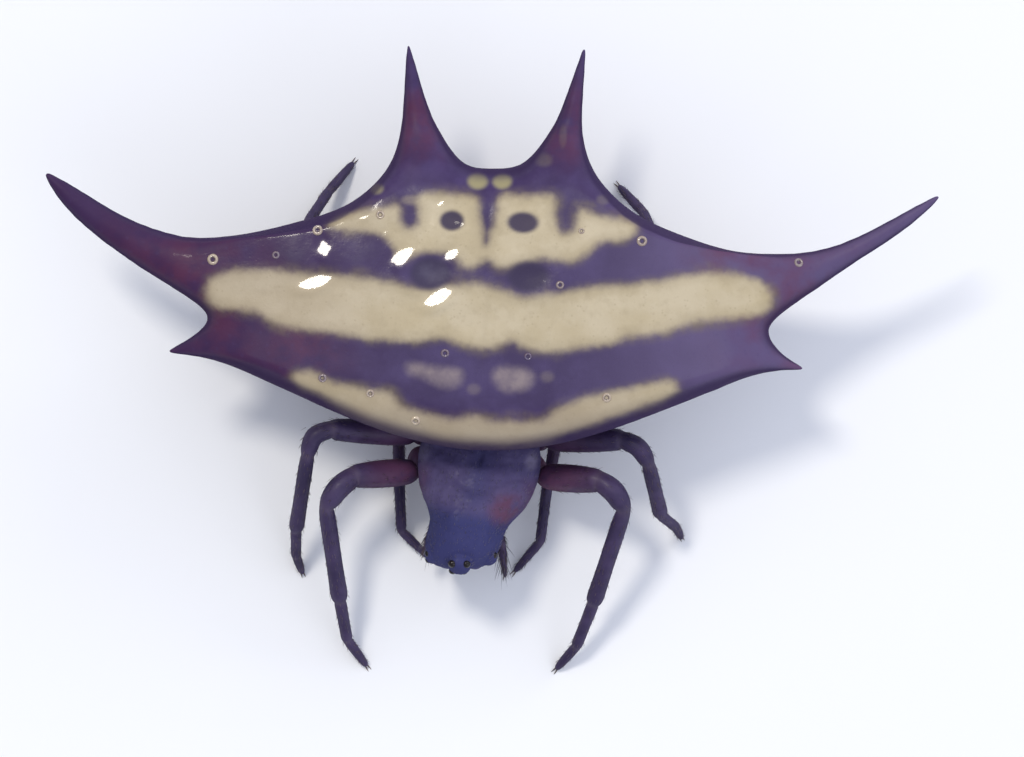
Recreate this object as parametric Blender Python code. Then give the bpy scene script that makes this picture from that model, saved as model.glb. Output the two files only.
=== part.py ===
"""Spiny orb weaver, a life-size model of the whole spider at rest on its eight feet.

Lengths are in millimetres until the last step, which turns them into metres.
The head points to -Y, the tail to +Y, the animal's back to +Z and its left side to +X.
"""

import math

import bmesh
import bpy
from mathutils import Matrix, Vector

MM = 0.001
GAP = 0.12
UP = Vector((0, 0, 1))

# The hard shield of the abdomen, seen from above: half outlines from the middle outwards.
FRONT_EDGE = ((0.0, -2.02), (0.95, -1.95), (1.9, -1.74), (2.85, -1.42), (3.8, -1.02), (4.75, -0.62),
              (5.62, -0.26))
REAR_EDGE = {
    "left": ((0.0, 4.17), (0.66, 4.18), (1.48, 4.48), (2.1, 4.04), (3.0, 3.22), (4.1, 2.83), (5.2, 2.42)),
    "right": ((0.0, 4.17), (0.66, 4.14), (1.5, 4.45), (2.14, 4.08), (3.0, 3.25), (4.1, 2.93), (5.2, 2.56)),
}
SIDE_EDGE = {
    "left": ((5.58, -0.2), (5.9, 0.13), (5.95, 0.66), (6.02, 1.02), (6.22, 1.8), (6.26, 2.43), (5.2, 2.42)),
    "right": ((5.6, -0.22), (5.92, 0.12), (5.96, 0.68), (6.12, 0.98), (6.25, 1.8), (6.3, 2.42), (5.2, 2.56)),
}
COLUMNS = len(FRONT_EDGE) - 1
ROWS = len(SIDE_EDGE["left"]) - 1

# Heights of the abdomen: its rim, the low dome above and the blunt cone of the belly below.
RIM_Z = 3.2
RIM_HALF = 0.56
RIM_INSET = 0.34
DOME_RISE = 0.62
DOME_HALF_WIDTH = 6.6
DOME_HALF_LENGTH = 3.9
BELLY_DROP = 2.15
BELLY_RADIUS = 3.9
BELLY_X_STRETCH = 0.86
BELLY_CENTRE_Y = 1.25
BELLY_POWER = 1.35

# Each spine: its route and its stations as distance share, half width and half height, from root to tip.
SPINES = {
    "left": {
        "lateral": (((6.21, 1.84, 3.2), (8.02, 2.57, 3.4), (9.44, 3.76, 3.75)),
                    ((0.17, 0.42, 0.44), (0.36, 0.25, 0.32), (0.58, 0.21, 0.26), (0.8, 0.15, 0.18),
                     (0.97, 0.05, 0.05))),
        "rear": (((1.44, 4.4, 3.2), (1.67, 5.4, 3.3), (1.86, 6.66, 3.62)),
                 ((0.2, 0.37, 0.42), (0.42, 0.23, 0.29), (0.97, 0.045, 0.045))),
        "front": (((5.88, 0.2, 3.2), (6.2, 0.1, 3.2), (6.64, 0.01, 3.24)),
                  ((0.45, 0.15, 0.22), (0.97, 0.04, 0.04))),
    },
    "right": {
        "lateral": (((-6.21, 1.81, 3.2), (-8.13, 2.36, 3.4), (-9.44, 3.76, 3.75)),
                    ((0.17, 0.54, 0.52), (0.36, 0.42, 0.43), (0.58, 0.34, 0.34), (0.8, 0.26, 0.25),
                     (0.97, 0.06, 0.06))),
        "rear": (((-1.49, 4.4, 3.2), (-1.73, 5.4, 3.3), (-1.85, 6.64, 3.62)),
                 ((0.2, 0.43, 0.46), (0.42, 0.27, 0.32), (0.97, 0.045, 0.045))),
        "front": (((-5.88, 0.22, 3.2), (-6.2, 0.13, 3.2), (-6.74, 0.02, 3.24)),
                  ((0.45, 0.2, 0.25), (0.97, 0.045, 0.045))),
    },
}

# The front of the body turns a little to the animal's right about the waist.
# From the neck on, the head looks straight ahead again and stands a little to the side.
WAIST = Vector((0.0, -1.2, 0.0))
TURN = math.radians(-8)
NECK_Y = (-2.1, -2.8)
HEAD_SHIFT = -0.06

# Carapace rings: distance forward of the waist, half width, lowest and highest point.
CARAPACE = (
    (-0.32, 0.42, 1.60, 1.95),
    (-0.10, 0.92, 1.46, 2.12),
    (0.40, 1.28, 1.42, 2.30),
    (0.95, 1.38, 1.40, 2.46),
    (1.50, 1.28, 1.40, 2.70),
    (1.88, 1.11, 1.42, 2.86),
    (2.25, 0.80, 1.46, 2.92),
    (2.68, 0.86, 1.60, 2.88),
    (3.04, 0.75, 1.72, 2.70),
    (3.26, 0.48, 1.86, 2.50),
)
CARAPACE_SIDES = 14
CARAPACE_EDGE_SHARE = 0.34

# Eyes: the raised bumps and the lenses on them, in the frame of the turned front body.
EYE_BUMPS = ((0.0, -3.09, 2.5, 0.26), (0.55, -2.94, 2.2, 0.21), (-0.55, -2.94, 2.2, 0.21))
EYES = (
    (0.12, -3.29, 2.42, 0.085),
    (0.15, -3.13, 2.69, 0.095),
    (0.67, -3.07, 2.14, 0.08),
    (0.70, -2.94, 2.29, 0.08),
)

STERNUM_HALF_WIDTH = 0.56
STERNUM_HALF_LENGTH = 1.0
STERNUM_MIDDLE_Y = -0.72
# Sternum layers from its face up: height and share of the full outline.
STERNUM_LAYERS = ((0.96, 0.62), (1.072, 0.92), (1.184, 1.0), (1.28, 0.96))

# Leg joints from the body out: root, trochanter, knee, kneecap middle and end, ankle, heel, tip.
# The roots are in the frame of the turned front body and all other points in the world's.
LEGS = {
    ("leg_1", "left"): (
        (0.50, -1.22, 1.16), (1.20, -2.42, 1.48), (2.42, -2.47, 2.36), (2.79, -2.70, 2.46),
        (2.96, -3.07, 2.36), (2.37, -5.12, 1.12), (2.04, -6.06, 0.50), (1.63, -6.57, 0.02),
    ),
    ("leg_1", "right"): (
        (-0.50, -1.22, 1.16), (-1.50, -2.38, 1.48), (-2.78, -2.51, 2.36), (-3.15, -2.79, 2.46),
        (-3.35, -3.18, 2.36), (-3.03, -5.20, 1.12), (-2.87, -6.04, 0.50), (-2.45, -6.61, 0.02),
    ),
    ("leg_2", "left"): (
        (0.60, -0.72, 1.16), (1.28, -1.64, 1.48), (2.88, -1.59, 2.52), (3.28, -1.73, 2.60),
        (3.45, -2.10, 2.50), (3.76, -3.18, 1.42), (4.11, -3.45, 0.72), (4.24, -3.68, 0.02),
    ),
    ("leg_2", "right"): (
        (-0.60, -0.72, 1.16), (-1.52, -1.60, 1.48), (-3.28, -1.53, 2.40), (-3.70, -1.66, 2.46),
        (-3.77, -2.10, 2.36), (-4.01, -3.72, 1.12), (-4.01, -4.27, 0.55), (-3.88, -4.65, 0.02),
    ),
    ("leg_3", "left"): (
        (0.60, -0.22, 1.14), (1.12, -1.12, 1.02), (1.62, -1.10, 1.04), (1.62, -1.30, 0.99),
        (1.50, -1.58, 0.92), (1.33, -2.62, 0.74), (1.21, -3.84, 0.42), (0.68, -4.50, 0.02),
    ),
    ("leg_3", "right"): (
        (-0.60, -0.22, 1.14), (-1.26, -1.12, 1.02), (-1.92, -1.04, 1.06), (-1.96, -1.24, 1.02),
        (-1.88, -1.54, 0.95), (-1.84, -2.60, 0.74), (-1.77, -3.68, 0.42), (-1.20, -4.22, 0.02),
    ),
    ("leg_4", "left"): (
        (0.50, 0.28, 1.16), (1.04, -0.70, 1.26), (2.70, 0.30, 1.94), (2.95, 0.58, 1.98),
        (3.08, 0.95, 1.90), (3.50, 2.68, 1.18), (3.23, 3.28, 0.58), (2.70, 3.84, 0.02),
    ),
    ("leg_4", "right"): (
        (-0.50, 0.28, 1.16), (-1.06, -0.70, 1.26), (-2.90, 0.35, 1.94), (-3.18, 0.63, 1.98),
        (-3.34, 1.00, 1.90), (-3.92, 2.86, 1.18), (-3.52, 3.54, 0.58), (-3.02, 4.19, 0.02),
    ),
}

# Half thicknesses of each pair of legs at the coxa, femur, tibia, ankle and tip.
LEG_RADII = {
    "leg_1": (0.25, 0.32, 0.245, 0.215, 0.13),
    "leg_2": (0.25, 0.29, 0.235, 0.21, 0.13),
    "leg_3": (0.22, 0.23, 0.215, 0.2, 0.12),
    "leg_4": (0.24, 0.29, 0.235, 0.21, 0.13),
}
LEG_SIDES = 10
COXA_SWELL = ((0.0, 0.8), (0.5, 1.0), (1.0, 0.92))
FEMUR_BOW = 0.03
FEMUR_SWELL = ((0.0, 0.76), (0.14, 0.94), (0.45, 1.0), (0.8, 0.92), (1.0, 0.8))
KNEECAP_SWELL = (0.8, 0.86)
TIBIA_SWELL = ((0.0, 0.98), (0.12, 1.0), (0.5, 1.0), (0.88, 1.02))
TIBIA_END_SWELL = 0.95
FOOT_SWELL = (1.0, 0.95, 0.9)
TIP_SHARE = 0.6

PALPS = {
    "left": ((0.34, -2.02, 1.06), (0.61, -2.30, 1.14), (0.83, -2.74, 1.14), (1.02, -3.44, 0.92)),
    "right": ((-0.34, -2.02, 1.06), (-0.59, -2.27, 1.14), (-0.72, -2.56, 1.14), (-0.78, -3.04, 0.90)),
}
PALP_RADII = (0.19, 0.22, 0.21, 0.08)
CHELICERA = ((0.29, -2.84, 1.66), (0.30, -2.98, 1.30), (0.29, -3.0, 0.92), (0.25, -2.92, 0.66))
CHELICERA_RADII = (0.24, 0.265, 0.25, 0.17)
FANG = ((0.24, -2.98, 0.74), (0.17, -2.96, 0.55), (0.09, -2.86, 0.48))
FANG_RADII = (0.1, 0.075, 0.03)

PEDICEL = ((0.0, -1.02, 1.76), (0.0, -0.35, 1.86))
PEDICEL_RADIUS = 0.27
PEDICEL_SWELL = ((0.0, 1.1), (0.3, 0.95), (0.6, 0.95), (1.0, 1.1))

SPINNERET_CENTRE = Vector((0.0, 1.5, 0.0))
COLLAR_RADIUS = 0.5
COLLAR_Z = (0.62, 1.5)
COLLAR_SWELL = ((0.0, 1.0), (0.85, 1.0), (1.0, 0.9))
COLLAR_SIDES = 14
SPINNERET_LENGTH = 0.42
SPINNERET_RADIUS = 0.15
SPINNERET_SWELL = ((0.0, 1.0), (0.6, 0.9), (1.0, 0.35))
SPINNERET_RING = 0.27
SPINNERET_LEAN = 0.1
SPINNERET_ROOT = 0.15
SPINNERET_SIDES = 8
SPINNERET_PLACES = 6

COLOURS = {
    "shield": (0.10, 0.035, 0.05),
    "carapace": (0.05, 0.022, 0.035),
    "limb": (0.075, 0.03, 0.04),
    "underside": (0.06, 0.025, 0.03),
}


def clear_scene():
    for obj in list(bpy.data.objects):
        bpy.data.objects.remove(obj, do_unlink=True)


def mix(a, b, share):
    return a + (b - a) * share


def turned(point):
    """A point given in the frame of the front body, placed in the world."""
    x, y, z = point
    share = min(1.0, max(0.0, (y - NECK_Y[0]) / (NECK_Y[1] - NECK_Y[0])))
    head = share * share * (3 - 2 * share)
    middle = Matrix.Rotation(TURN, 3, "Z") @ Vector((0.0, y, z))
    across = Matrix.Rotation(TURN * (1 - head), 3, "Z") @ Vector((x, 0.0, 0.0))
    return WAIST + middle + across + Vector((HEAD_SHIFT * head, 0.0, 0.0))


def chitin(name, colour, roughness):
    material = bpy.data.materials.new(name)
    material.use_nodes = True
    surface = material.node_tree.nodes["Principled BSDF"]
    surface.inputs["Base Color"].default_value = (*colour, 1.0)
    surface.inputs["Roughness"].default_value = roughness
    surface.inputs["Metallic"].default_value = 0.0
    return material


def add_object(name, bm):
    """Makes an object of the mesh, closed and facing out."""
    bmesh.ops.recalc_face_normals(bm, faces=bm.faces)
    mesh = bpy.data.meshes.new(name)
    bm.to_mesh(mesh)
    bm.free()
    obj = bpy.data.objects.new(name, mesh)
    bpy.context.collection.objects.link(obj)
    return obj


def apply_modifiers(obj):
    """Replaces the object's mesh by what its modifiers make of it."""
    graph = bpy.context.evaluated_depsgraph_get()
    mesh = bpy.data.meshes.new_from_object(obj.evaluated_get(graph))
    obj.modifiers.clear()
    obj.data = mesh


def smooth_by_subdivision(obj, levels):
    modifier = obj.modifiers.new("Subdivision", "SUBSURF")
    modifier.levels = levels
    modifier.render_levels = levels
    apply_modifiers(obj)


def keep_largest_surface(obj):
    """Drops loose scraps and sealed hollows, so that one closed surface stays."""
    bm = bmesh.new()
    bm.from_mesh(obj.data)
    bm.faces.ensure_lookup_table()
    unseen = set(bm.faces)
    shells = []
    while unseen:
        shell = {unseen.pop()}
        front = list(shell)
        while front:
            face = front.pop()
            near = {other for edge in face.edges for other in edge.link_faces} - shell
            shell |= near
            front.extend(near)
        unseen -= shell
        shells.append(shell)
    largest = max(shells, key=lambda shell: sum(face.calc_area() for face in shell))
    spare = [face for face in bm.faces if face not in largest]
    bmesh.ops.delete(bm, geom=spare, context="FACES")
    bm.to_mesh(obj.data)
    bm.free()


def unite(obj, pieces):
    """Fuses the closed pieces into the object by one Boolean and removes them."""
    gathered = bpy.data.collections.new(f"{obj.name} pieces")
    for piece in pieces:
        gathered.objects.link(piece)
    modifier = obj.modifiers.new("Fuse", "BOOLEAN")
    modifier.operation = "UNION"
    modifier.operand_type = "COLLECTION"
    modifier.collection = gathered
    modifier.solver = "EXACT"
    apply_modifiers(obj)
    for piece in pieces:
        bpy.data.objects.remove(piece, do_unlink=True)
    bpy.data.collections.remove(gathered)
    keep_largest_surface(obj)


def cut_clear(obj, neighbour):
    """Cuts the object back until it stands clear of its neighbour by the gap."""
    swollen = bpy.data.objects.new("swollen", neighbour.data.copy())
    bpy.context.collection.objects.link(swollen)
    grow = swollen.modifiers.new("Grow", "DISPLACE")
    grow.mid_level = 0.0
    grow.strength = GAP
    cut = obj.modifiers.new("Clear", "BOOLEAN")
    cut.operation = "DIFFERENCE"
    cut.object = swollen
    cut.solver = "EXACT"
    apply_modifiers(obj)
    bpy.data.objects.remove(swollen, do_unlink=True)
    keep_largest_surface(obj)


def ring_points(centre, normal, side, half_width, half_height, count):
    """An ellipse in the plane square to the normal, its width along the side vector."""
    across = (side - side.dot(normal) * normal).normalized()
    over = normal.cross(across)
    steps = (2 * math.pi * i / count for i in range(count))
    return [centre + across * half_width * math.cos(a) + over * half_height * math.sin(a) for a in steps]


def loft(bm, rings):
    """Joins rings of points into one closed skin with a face over each end."""
    rows = [[bm.verts.new(point) for point in ring] for ring in rings]
    for low, high in zip(rows, rows[1:]):
        for i in range(len(low)):
            j = (i + 1) % len(low)
            bm.faces.new((low[i], low[j], high[j], high[i]))
    bm.faces.new(rows[0])
    bm.faces.new(list(reversed(rows[-1])))


def tube(name, points, radii, ends=(None, None), sides=LEG_SIDES):
    """A round limb along the points. A given end normal sets the slant of that end's face."""
    points = [Vector(point) for point in points]
    steps = [(b - a).normalized() for a, b in zip(points, points[1:])]
    normals = [steps[0]] + [(a + b).normalized() for a, b in zip(steps, steps[1:])] + [steps[-1]]
    normals[0] = ends[0] or normals[0]
    normals[-1] = ends[1] or normals[-1]
    side = steps[0].cross(UP)
    if side.length < 0.1:
        side = Vector((1, 0, 0))
    rings = []
    for point, normal, radius in zip(points, normals, radii):
        side = (side - side.dot(normal) * normal).normalized()
        rings.append(ring_points(point, normal, side, radius, radius, sides))
    bm = bmesh.new()
    loft(bm, rings)
    return add_object(name, bm)


def between(a, b, stations, radius):
    """Points and radii along a straight length from its list of shares and swellings."""
    return [a.lerp(b, share) for share, swell in stations], [radius * swell for share, swell in stations]


def plan_point(name, column, row):
    """Where a cage column and row of the named side meet, seen from above."""
    front = Vector(FRONT_EDGE[column])
    rear = Vector(REAR_EDGE[name][column])
    edge = SIDE_EDGE[name]
    if column == COLUMNS:
        return Vector(edge[row])
    low, high = edge[0][1], edge[-1][1]
    even = row / ROWS
    like_side = (edge[row][1] - low) / (high - low)
    return front.lerp(rear, mix(even, like_side, 0.6 * column / COLUMNS))


def dome_z(x, y):
    along = (y - BELLY_CENTRE_Y) / DOME_HALF_LENGTH
    across = x / DOME_HALF_WIDTH
    return RIM_Z + RIM_HALF + DOME_RISE * max(0.0, 1 - across * across) * max(0.0, 1 - along * along)


def belly_z(x, y):
    reach = math.hypot(x * BELLY_X_STRETCH, y - BELLY_CENTRE_Y) / BELLY_RADIUS
    return RIM_Z - RIM_HALF - BELLY_DROP * max(0.0, 1 - reach) ** BELLY_POWER


def cage_point(column, row, layer):
    """A cage vertex: layer 0 is the belly, 1 the rim and 2 the back."""
    side = -1 if column < 0 else 1
    plan = plan_point("right" if column < 0 else "left", abs(column), row)
    if layer == 1:
        return Vector((side * plan.x, plan.y, RIM_Z))
    middle = Vector((0.0, BELLY_CENTRE_Y))
    on_edge = abs(column) == COLUMNS or row in (0, ROWS)
    if on_edge:
        inward = middle - plan
        inward.x = 0.0 if abs(column) < COLUMNS else inward.x
        plan = plan + inward.normalized() * RIM_INSET
    height = dome_z(plan.x, plan.y) if layer == 2 else belly_z(plan.x, plan.y)
    return Vector((side * plan.x, plan.y, height))


def build_cage(bm):
    """The closed box of faces that the abdomen's smooth form is drawn from."""
    cage = {}
    for column in range(-COLUMNS, COLUMNS + 1):
        for row in range(ROWS + 1):
            on_edge = abs(column) == COLUMNS or row in (0, ROWS)
            for layer in (0, 1, 2) if on_edge else (0, 2):
                cage[column, row, layer] = bm.verts.new(cage_point(column, row, layer))
    for column in range(-COLUMNS, COLUMNS):
        for row in range(ROWS):
            for layer in (0, 2):
                corners = ((0, 0), (1, 0), (1, 1), (0, 1))
                bm.faces.new([cage[column + i, row + j, layer] for i, j in corners])
    around = [(column, 0) for column in range(-COLUMNS, COLUMNS)]
    around += [(COLUMNS, row) for row in range(ROWS)]
    around += [(column, ROWS) for column in range(COLUMNS, -COLUMNS, -1)]
    around += [(-COLUMNS, row) for row in range(ROWS, 0, -1)]
    for here, there in zip(around, around[1:] + around[:1]):
        for layer in (0, 1):
            bm.faces.new([cage[(*here, layer)], cage[(*there, layer)],
                          cage[(*there, layer + 1)], cage[(*here, layer + 1)]])
    return cage


def along_curve(points, share):
    """The place and the heading at a share of the way along a quadratic curve."""
    a, b, c = (Vector(point) for point in points)
    place = a * (1 - share) ** 2 + b * 2 * share * (1 - share) + c * share ** 2
    heading = (b - a) * (1 - share) + (c - b) * share
    return place, heading.normalized()


def grow_spine(bm, patch, route, stations):
    """Extrudes a 3 by 3 patch of cage vertices along the route, one step for each station."""
    spot = bm.verts.layers.int["spot"]
    for index, vertex in enumerate(patch):
        vertex[spot] = index + 1
    faces = [face for face in patch[4].link_faces]
    across = patch[7].co - patch[1].co
    for share, half_width, half_height in stations:
        grown = bmesh.ops.extrude_face_region(bm, geom=faces)["geom"]
        bmesh.ops.delete(bm, geom=faces, context="FACES")
        faces = [item for item in grown if isinstance(item, bmesh.types.BMFace)]
        centre, heading = along_curve(route, share)
        side = (across - across.dot(heading) * heading).normalized()
        over = heading.cross(side)
        if over.z < 0:
            over = -over
        for vertex in {corner for face in faces for corner in face.verts}:
            u, v = divmod(vertex[spot] - 1, 3)
            pull = Vector((u - 1, v - 1))
            if pull.length > 0:
                pull.normalize()
            vertex.co = centre + side * half_width * pull.x + over * half_height * pull.y
    for vertex in bm.verts:
        vertex[spot] = 0


def build_abdomen():
    bm = bmesh.new()
    bm.verts.layers.int.new("spot")
    cage = build_cage(bm)
    for name, side in (("left", 1), ("right", -1)):
        spines = SPINES[name]
        wall = [cage[side * COLUMNS, row, layer] for row in (3, 4, 5) for layer in (0, 1, 2)]
        grow_spine(bm, wall, *spines["lateral"])
        wall = [cage[side * COLUMNS, row, layer] for row in (0, 1, 2) for layer in (0, 1, 2)]
        grow_spine(bm, wall, *spines["front"])
        wall = [cage[side * column, ROWS, layer] for column in (1, 2, 3) for layer in (0, 1, 2)]
        grow_spine(bm, wall, *spines["rear"])
    abdomen = add_object("abdomen", bm)
    smooth_by_subdivision(abdomen, 1)
    return abdomen


def build_carapace():
    rings = []
    for forward, half_width, low, high in CARAPACE:
        edge = mix(low, high, CARAPACE_EDGE_SHARE)
        ring = []
        for i in range(CARAPACE_SIDES):
            angle = 2 * math.pi * i / CARAPACE_SIDES
            lift = math.sin(angle)
            height = edge + ((high - edge) if lift > 0 else (edge - low)) * lift
            ring.append(turned((half_width * math.cos(angle), -forward, height)))
        rings.append(ring)
    bm = bmesh.new()
    loft(bm, rings)
    carapace = add_object("carapace", bm)
    smooth_by_subdivision(carapace, 1)
    balls = [add_ball(turned(bump[:3]), bump[3]) for bump in EYE_BUMPS]
    for x, y, z, radius in EYES:
        balls += [add_ball(turned((side * x, y, z)), radius) for side in (1, -1)]
    unite(carapace, balls)
    return carapace


def add_ball(centre, radius):
    bm = bmesh.new()
    place = Matrix.Translation(centre)
    bmesh.ops.create_icosphere(bm, subdivisions=2, radius=radius, matrix=place)
    return add_object("ball", bm)


def build_sternum():
    rings = []
    for height, share in STERNUM_LAYERS:
        ring = []
        for i in range(LEG_SIDES * 2):
            angle = math.pi * i / LEG_SIDES
            x = STERNUM_HALF_WIDTH * share * math.cos(angle)
            y = STERNUM_MIDDLE_Y + STERNUM_HALF_LENGTH * share * math.sin(angle)
            ring.append(turned((x, y, height)))
        rings.append(ring)
    bm = bmesh.new()
    loft(bm, rings)
    return add_object("sternum", bm)


def build_pedicel(abdomen, carapace):
    a, b = (Vector(point) for point in PEDICEL)
    pedicel = tube("pedicel", *between(a, b, PEDICEL_SWELL, PEDICEL_RADIUS))
    cut_clear(pedicel, abdomen)
    cut_clear(pedicel, carapace)
    return pedicel


def build_spinnerets(abdomen):
    low, high = COLLAR_Z
    top, foot = SPINNERET_CENTRE + UP * high, SPINNERET_CENTRE + UP * low
    collar = tube("spinnerets", *between(top, foot, COLLAR_SWELL, COLLAR_RADIUS), sides=COLLAR_SIDES)
    cones = []
    for i in range(SPINNERET_PLACES):
        angle = 2 * math.pi * (i + 0.5) / SPINNERET_PLACES
        out = Vector((math.cos(angle), math.sin(angle), 0.0))
        root = foot + out * SPINNERET_RING + UP * SPINNERET_ROOT
        tip = root - out * SPINNERET_LEAN - UP * SPINNERET_LENGTH
        cone = tube("cone", *between(root, tip, SPINNERET_SWELL, SPINNERET_RADIUS), sides=SPINNERET_SIDES)
        cones.append(cone)
    unite(collar, cones)
    cut_clear(collar, abdomen)
    return collar


def build_chelicera(name, side, carapace):
    path = [turned((side * x, y, z)) for x, y, z in CHELICERA]
    chelicera = tube(name, path, CHELICERA_RADII, sides=12)
    fang_path = [turned((side * x, y, z)) for x, y, z in FANG]
    unite(chelicera, [tube("fang", fang_path, FANG_RADII, sides=8)])
    cut_clear(chelicera, carapace)
    return chelicera


def build_palp(name, points, carapace, sternum):
    palp = tube(name, [turned(point) for point in points], PALP_RADII)
    cut_clear(palp, carapace)
    cut_clear(palp, sternum)
    return palp


def cut_at_floor(obj):
    """Cuts the foot flat at the floor."""
    bm = bmesh.new()
    bm.from_mesh(obj.data)
    whole = bm.verts[:] + bm.edges[:] + bm.faces[:]
    cut = bmesh.ops.bisect_plane(bm, geom=whole, plane_co=(0, 0, 0), plane_no=UP, clear_inner=True)
    rim = [item for item in cut["geom_cut"] if isinstance(item, bmesh.types.BMEdge)]
    bmesh.ops.contextual_create(bm, geom=rim)
    bmesh.ops.recalc_face_normals(bm, faces=bm.faces)
    bm.to_mesh(obj.data)
    bm.free()


def build_leg(pair, side, joints, carapace, sternum):
    """The four lengths of a leg, parted at its joints by faces that look at each other."""
    points = [turned(joints[0])] + [Vector(joint) for joint in joints[1:]]
    root, hip, knee, cap_middle, cap_end, ankle, heel, tip = points
    coxa_r, femur_r, tibia_r, ankle_r, tip_r = LEG_RADII[pair]
    slants = {}
    for label, before, here, after in (("hip", root, hip, knee), ("knee", hip, knee, cap_middle),
                                       ("ankle", cap_end, ankle, heel)):
        slants[label] = ((here - before).normalized() + (after - here).normalized()).normalized()
    half = {label: slant * GAP / 2 for label, slant in slants.items()}

    path, radii = between(root, hip - half["hip"], COXA_SWELL, coxa_r)
    coxa = tube(f"{pair}_{side}_coxa", path, radii, (None, slants["hip"]))
    cut_clear(coxa, carapace)
    cut_clear(coxa, sternum)

    path, radii = between(hip + half["hip"], knee - half["knee"], FEMUR_SWELL, femur_r)
    outward = knee - (hip + ankle) / 2
    outward = (outward - outward.project(knee - hip)).normalized()
    arch = [4 * share * (1 - share) for share, swell in FEMUR_SWELL]
    path = [point + outward * FEMUR_BOW * rise for point, rise in zip(path, arch)]
    femur = tube(f"{pair}_{side}_femur", path, radii, (slants["hip"], slants["knee"]))
    cut_clear(femur, carapace)

    path, radii = between(cap_end, ankle, TIBIA_SWELL, tibia_r)
    path = [knee + half["knee"], cap_middle] + path + [ankle - half["ankle"]]
    radii = [femur_r * swell for swell in KNEECAP_SWELL] + radii + [tibia_r * TIBIA_END_SWELL]
    tibia = tube(f"{pair}_{side}_tibia", path, radii, (slants["knee"], slants["ankle"]))

    path = [ankle + half["ankle"], ankle.lerp(heel, 0.5), heel, heel.lerp(tip, 0.5), tip]
    radii = [ankle_r * swell for swell in FOOT_SWELL] + [mix(ankle_r, tip_r, TIP_SHARE), tip_r]
    foot = tube(f"{pair}_{side}_tarsus", path, radii, (slants["ankle"], None))
    cut_at_floor(foot)
    return [coxa, femur, tibia, foot]


def dress(objects, material):
    for obj in objects:
        obj.data.materials.clear()
        obj.data.materials.append(material)
        obj.data.shade_smooth()
        obj.data.set_sharp_from_angle(angle=math.radians(50))


def to_metres(objects):
    spider = bpy.data.objects.new("spider", None)
    bpy.context.collection.objects.link(spider)
    for obj in objects:
        obj.data.transform(Matrix.Scale(MM, 4))
        obj.parent = spider


def main():
    clear_scene()
    abdomen = build_abdomen()
    carapace = build_carapace()
    sternum = build_sternum()
    pedicel = build_pedicel(abdomen, carapace)
    spinnerets = build_spinnerets(abdomen)
    mouth = [build_chelicera("chelicera_left", 1, carapace), build_chelicera("chelicera_right", -1, carapace)]
    mouth += [build_palp(f"palp_{name}", points, carapace, sternum) for name, points in PALPS.items()]
    limbs = []
    for (pair, side), joints in LEGS.items():
        limbs += build_leg(pair, side, joints, carapace, sternum)
    dress([abdomen], chitin("shield", COLOURS["shield"], 0.22))
    dress([carapace] + mouth, chitin("carapace", COLOURS["carapace"], 0.45))
    dress([sternum, pedicel, spinnerets], chitin("underside", COLOURS["underside"], 0.5))
    dress(limbs, chitin("limb", COLOURS["limb"], 0.38))
    to_metres([abdomen, carapace, sternum, pedicel, spinnerets] + mouth + limbs)


main()
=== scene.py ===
"""Looks of a life-size spiny orb weaver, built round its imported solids.

Lengths are in millimetres while a piece is shaped, and its mesh is brought to metres when it is done.
The head points to -Y, the tail to +Y, the animal's back to +Z and its left side to +X.
"""

import math

import bmesh
import bpy
import numpy as np
from mathutils import Matrix, Vector
from mathutils.bvhtree import BVHTree


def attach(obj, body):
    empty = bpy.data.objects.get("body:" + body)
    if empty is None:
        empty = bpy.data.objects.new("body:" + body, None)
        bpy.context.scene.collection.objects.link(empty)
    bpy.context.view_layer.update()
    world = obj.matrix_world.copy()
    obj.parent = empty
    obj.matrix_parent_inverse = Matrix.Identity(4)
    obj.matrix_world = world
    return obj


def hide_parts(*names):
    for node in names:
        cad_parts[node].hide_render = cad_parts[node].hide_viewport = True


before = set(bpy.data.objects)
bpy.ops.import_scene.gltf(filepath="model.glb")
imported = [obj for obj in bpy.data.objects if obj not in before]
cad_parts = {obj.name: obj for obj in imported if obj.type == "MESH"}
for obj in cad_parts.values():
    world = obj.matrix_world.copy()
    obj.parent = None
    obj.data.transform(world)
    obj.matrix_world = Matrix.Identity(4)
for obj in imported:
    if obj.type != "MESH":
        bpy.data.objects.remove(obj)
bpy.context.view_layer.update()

MM = 0.001
UP = Vector((0, 0, 1))
CHANCE = np.random.default_rng(11)
SIDES = ((1, "left"), (-1, "right"))

# The shield of the abdomen, seen from above: half outlines from the middle outwards.
# Side 1 is the animal's left.
FRONT_EDGE = (
    (0.0, -2.02), (0.95, -1.95), (1.9, -1.74), (2.85, -1.42), (3.8, -1.02), (4.75, -0.62), (5.62, -0.26),
)
REAR_EDGE = {
    1: ((0.0, 4.17), (0.66, 4.18), (1.48, 4.48), (2.1, 4.04), (3.0, 3.22), (4.1, 2.83), (5.2, 2.42)),
    -1: ((0.0, 4.17), (0.66, 4.14), (1.5, 4.45), (2.14, 4.08), (3.0, 3.25), (4.1, 2.93), (5.2, 2.56)),
}
SIDE_EDGE = {
    1: ((5.58, -0.2), (5.9, 0.13), (5.95, 0.66), (6.02, 1.02), (6.22, 1.8), (6.26, 2.43), (5.2, 2.42)),
    -1: ((5.6, -0.22), (5.92, 0.12), (5.96, 0.68), (6.12, 0.98), (6.25, 1.8), (6.3, 2.42), (5.2, 2.56)),
}
COLUMNS = 6
ROWS = 6
RIM_Z = 3.2
RIM_HALF = 0.56
RIM_INSET = 0.34
DOME_RISE = 0.62
DOME_HALF_WIDTH = 6.6
DOME_HALF_LENGTH = 3.9
BELLY_DROP = 2.15
BELLY_RADIUS = 3.9
BELLY_X_STRETCH = 0.86
BELLY_CENTRE_Y = 1.25
BELLY_POWER = 1.35

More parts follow.
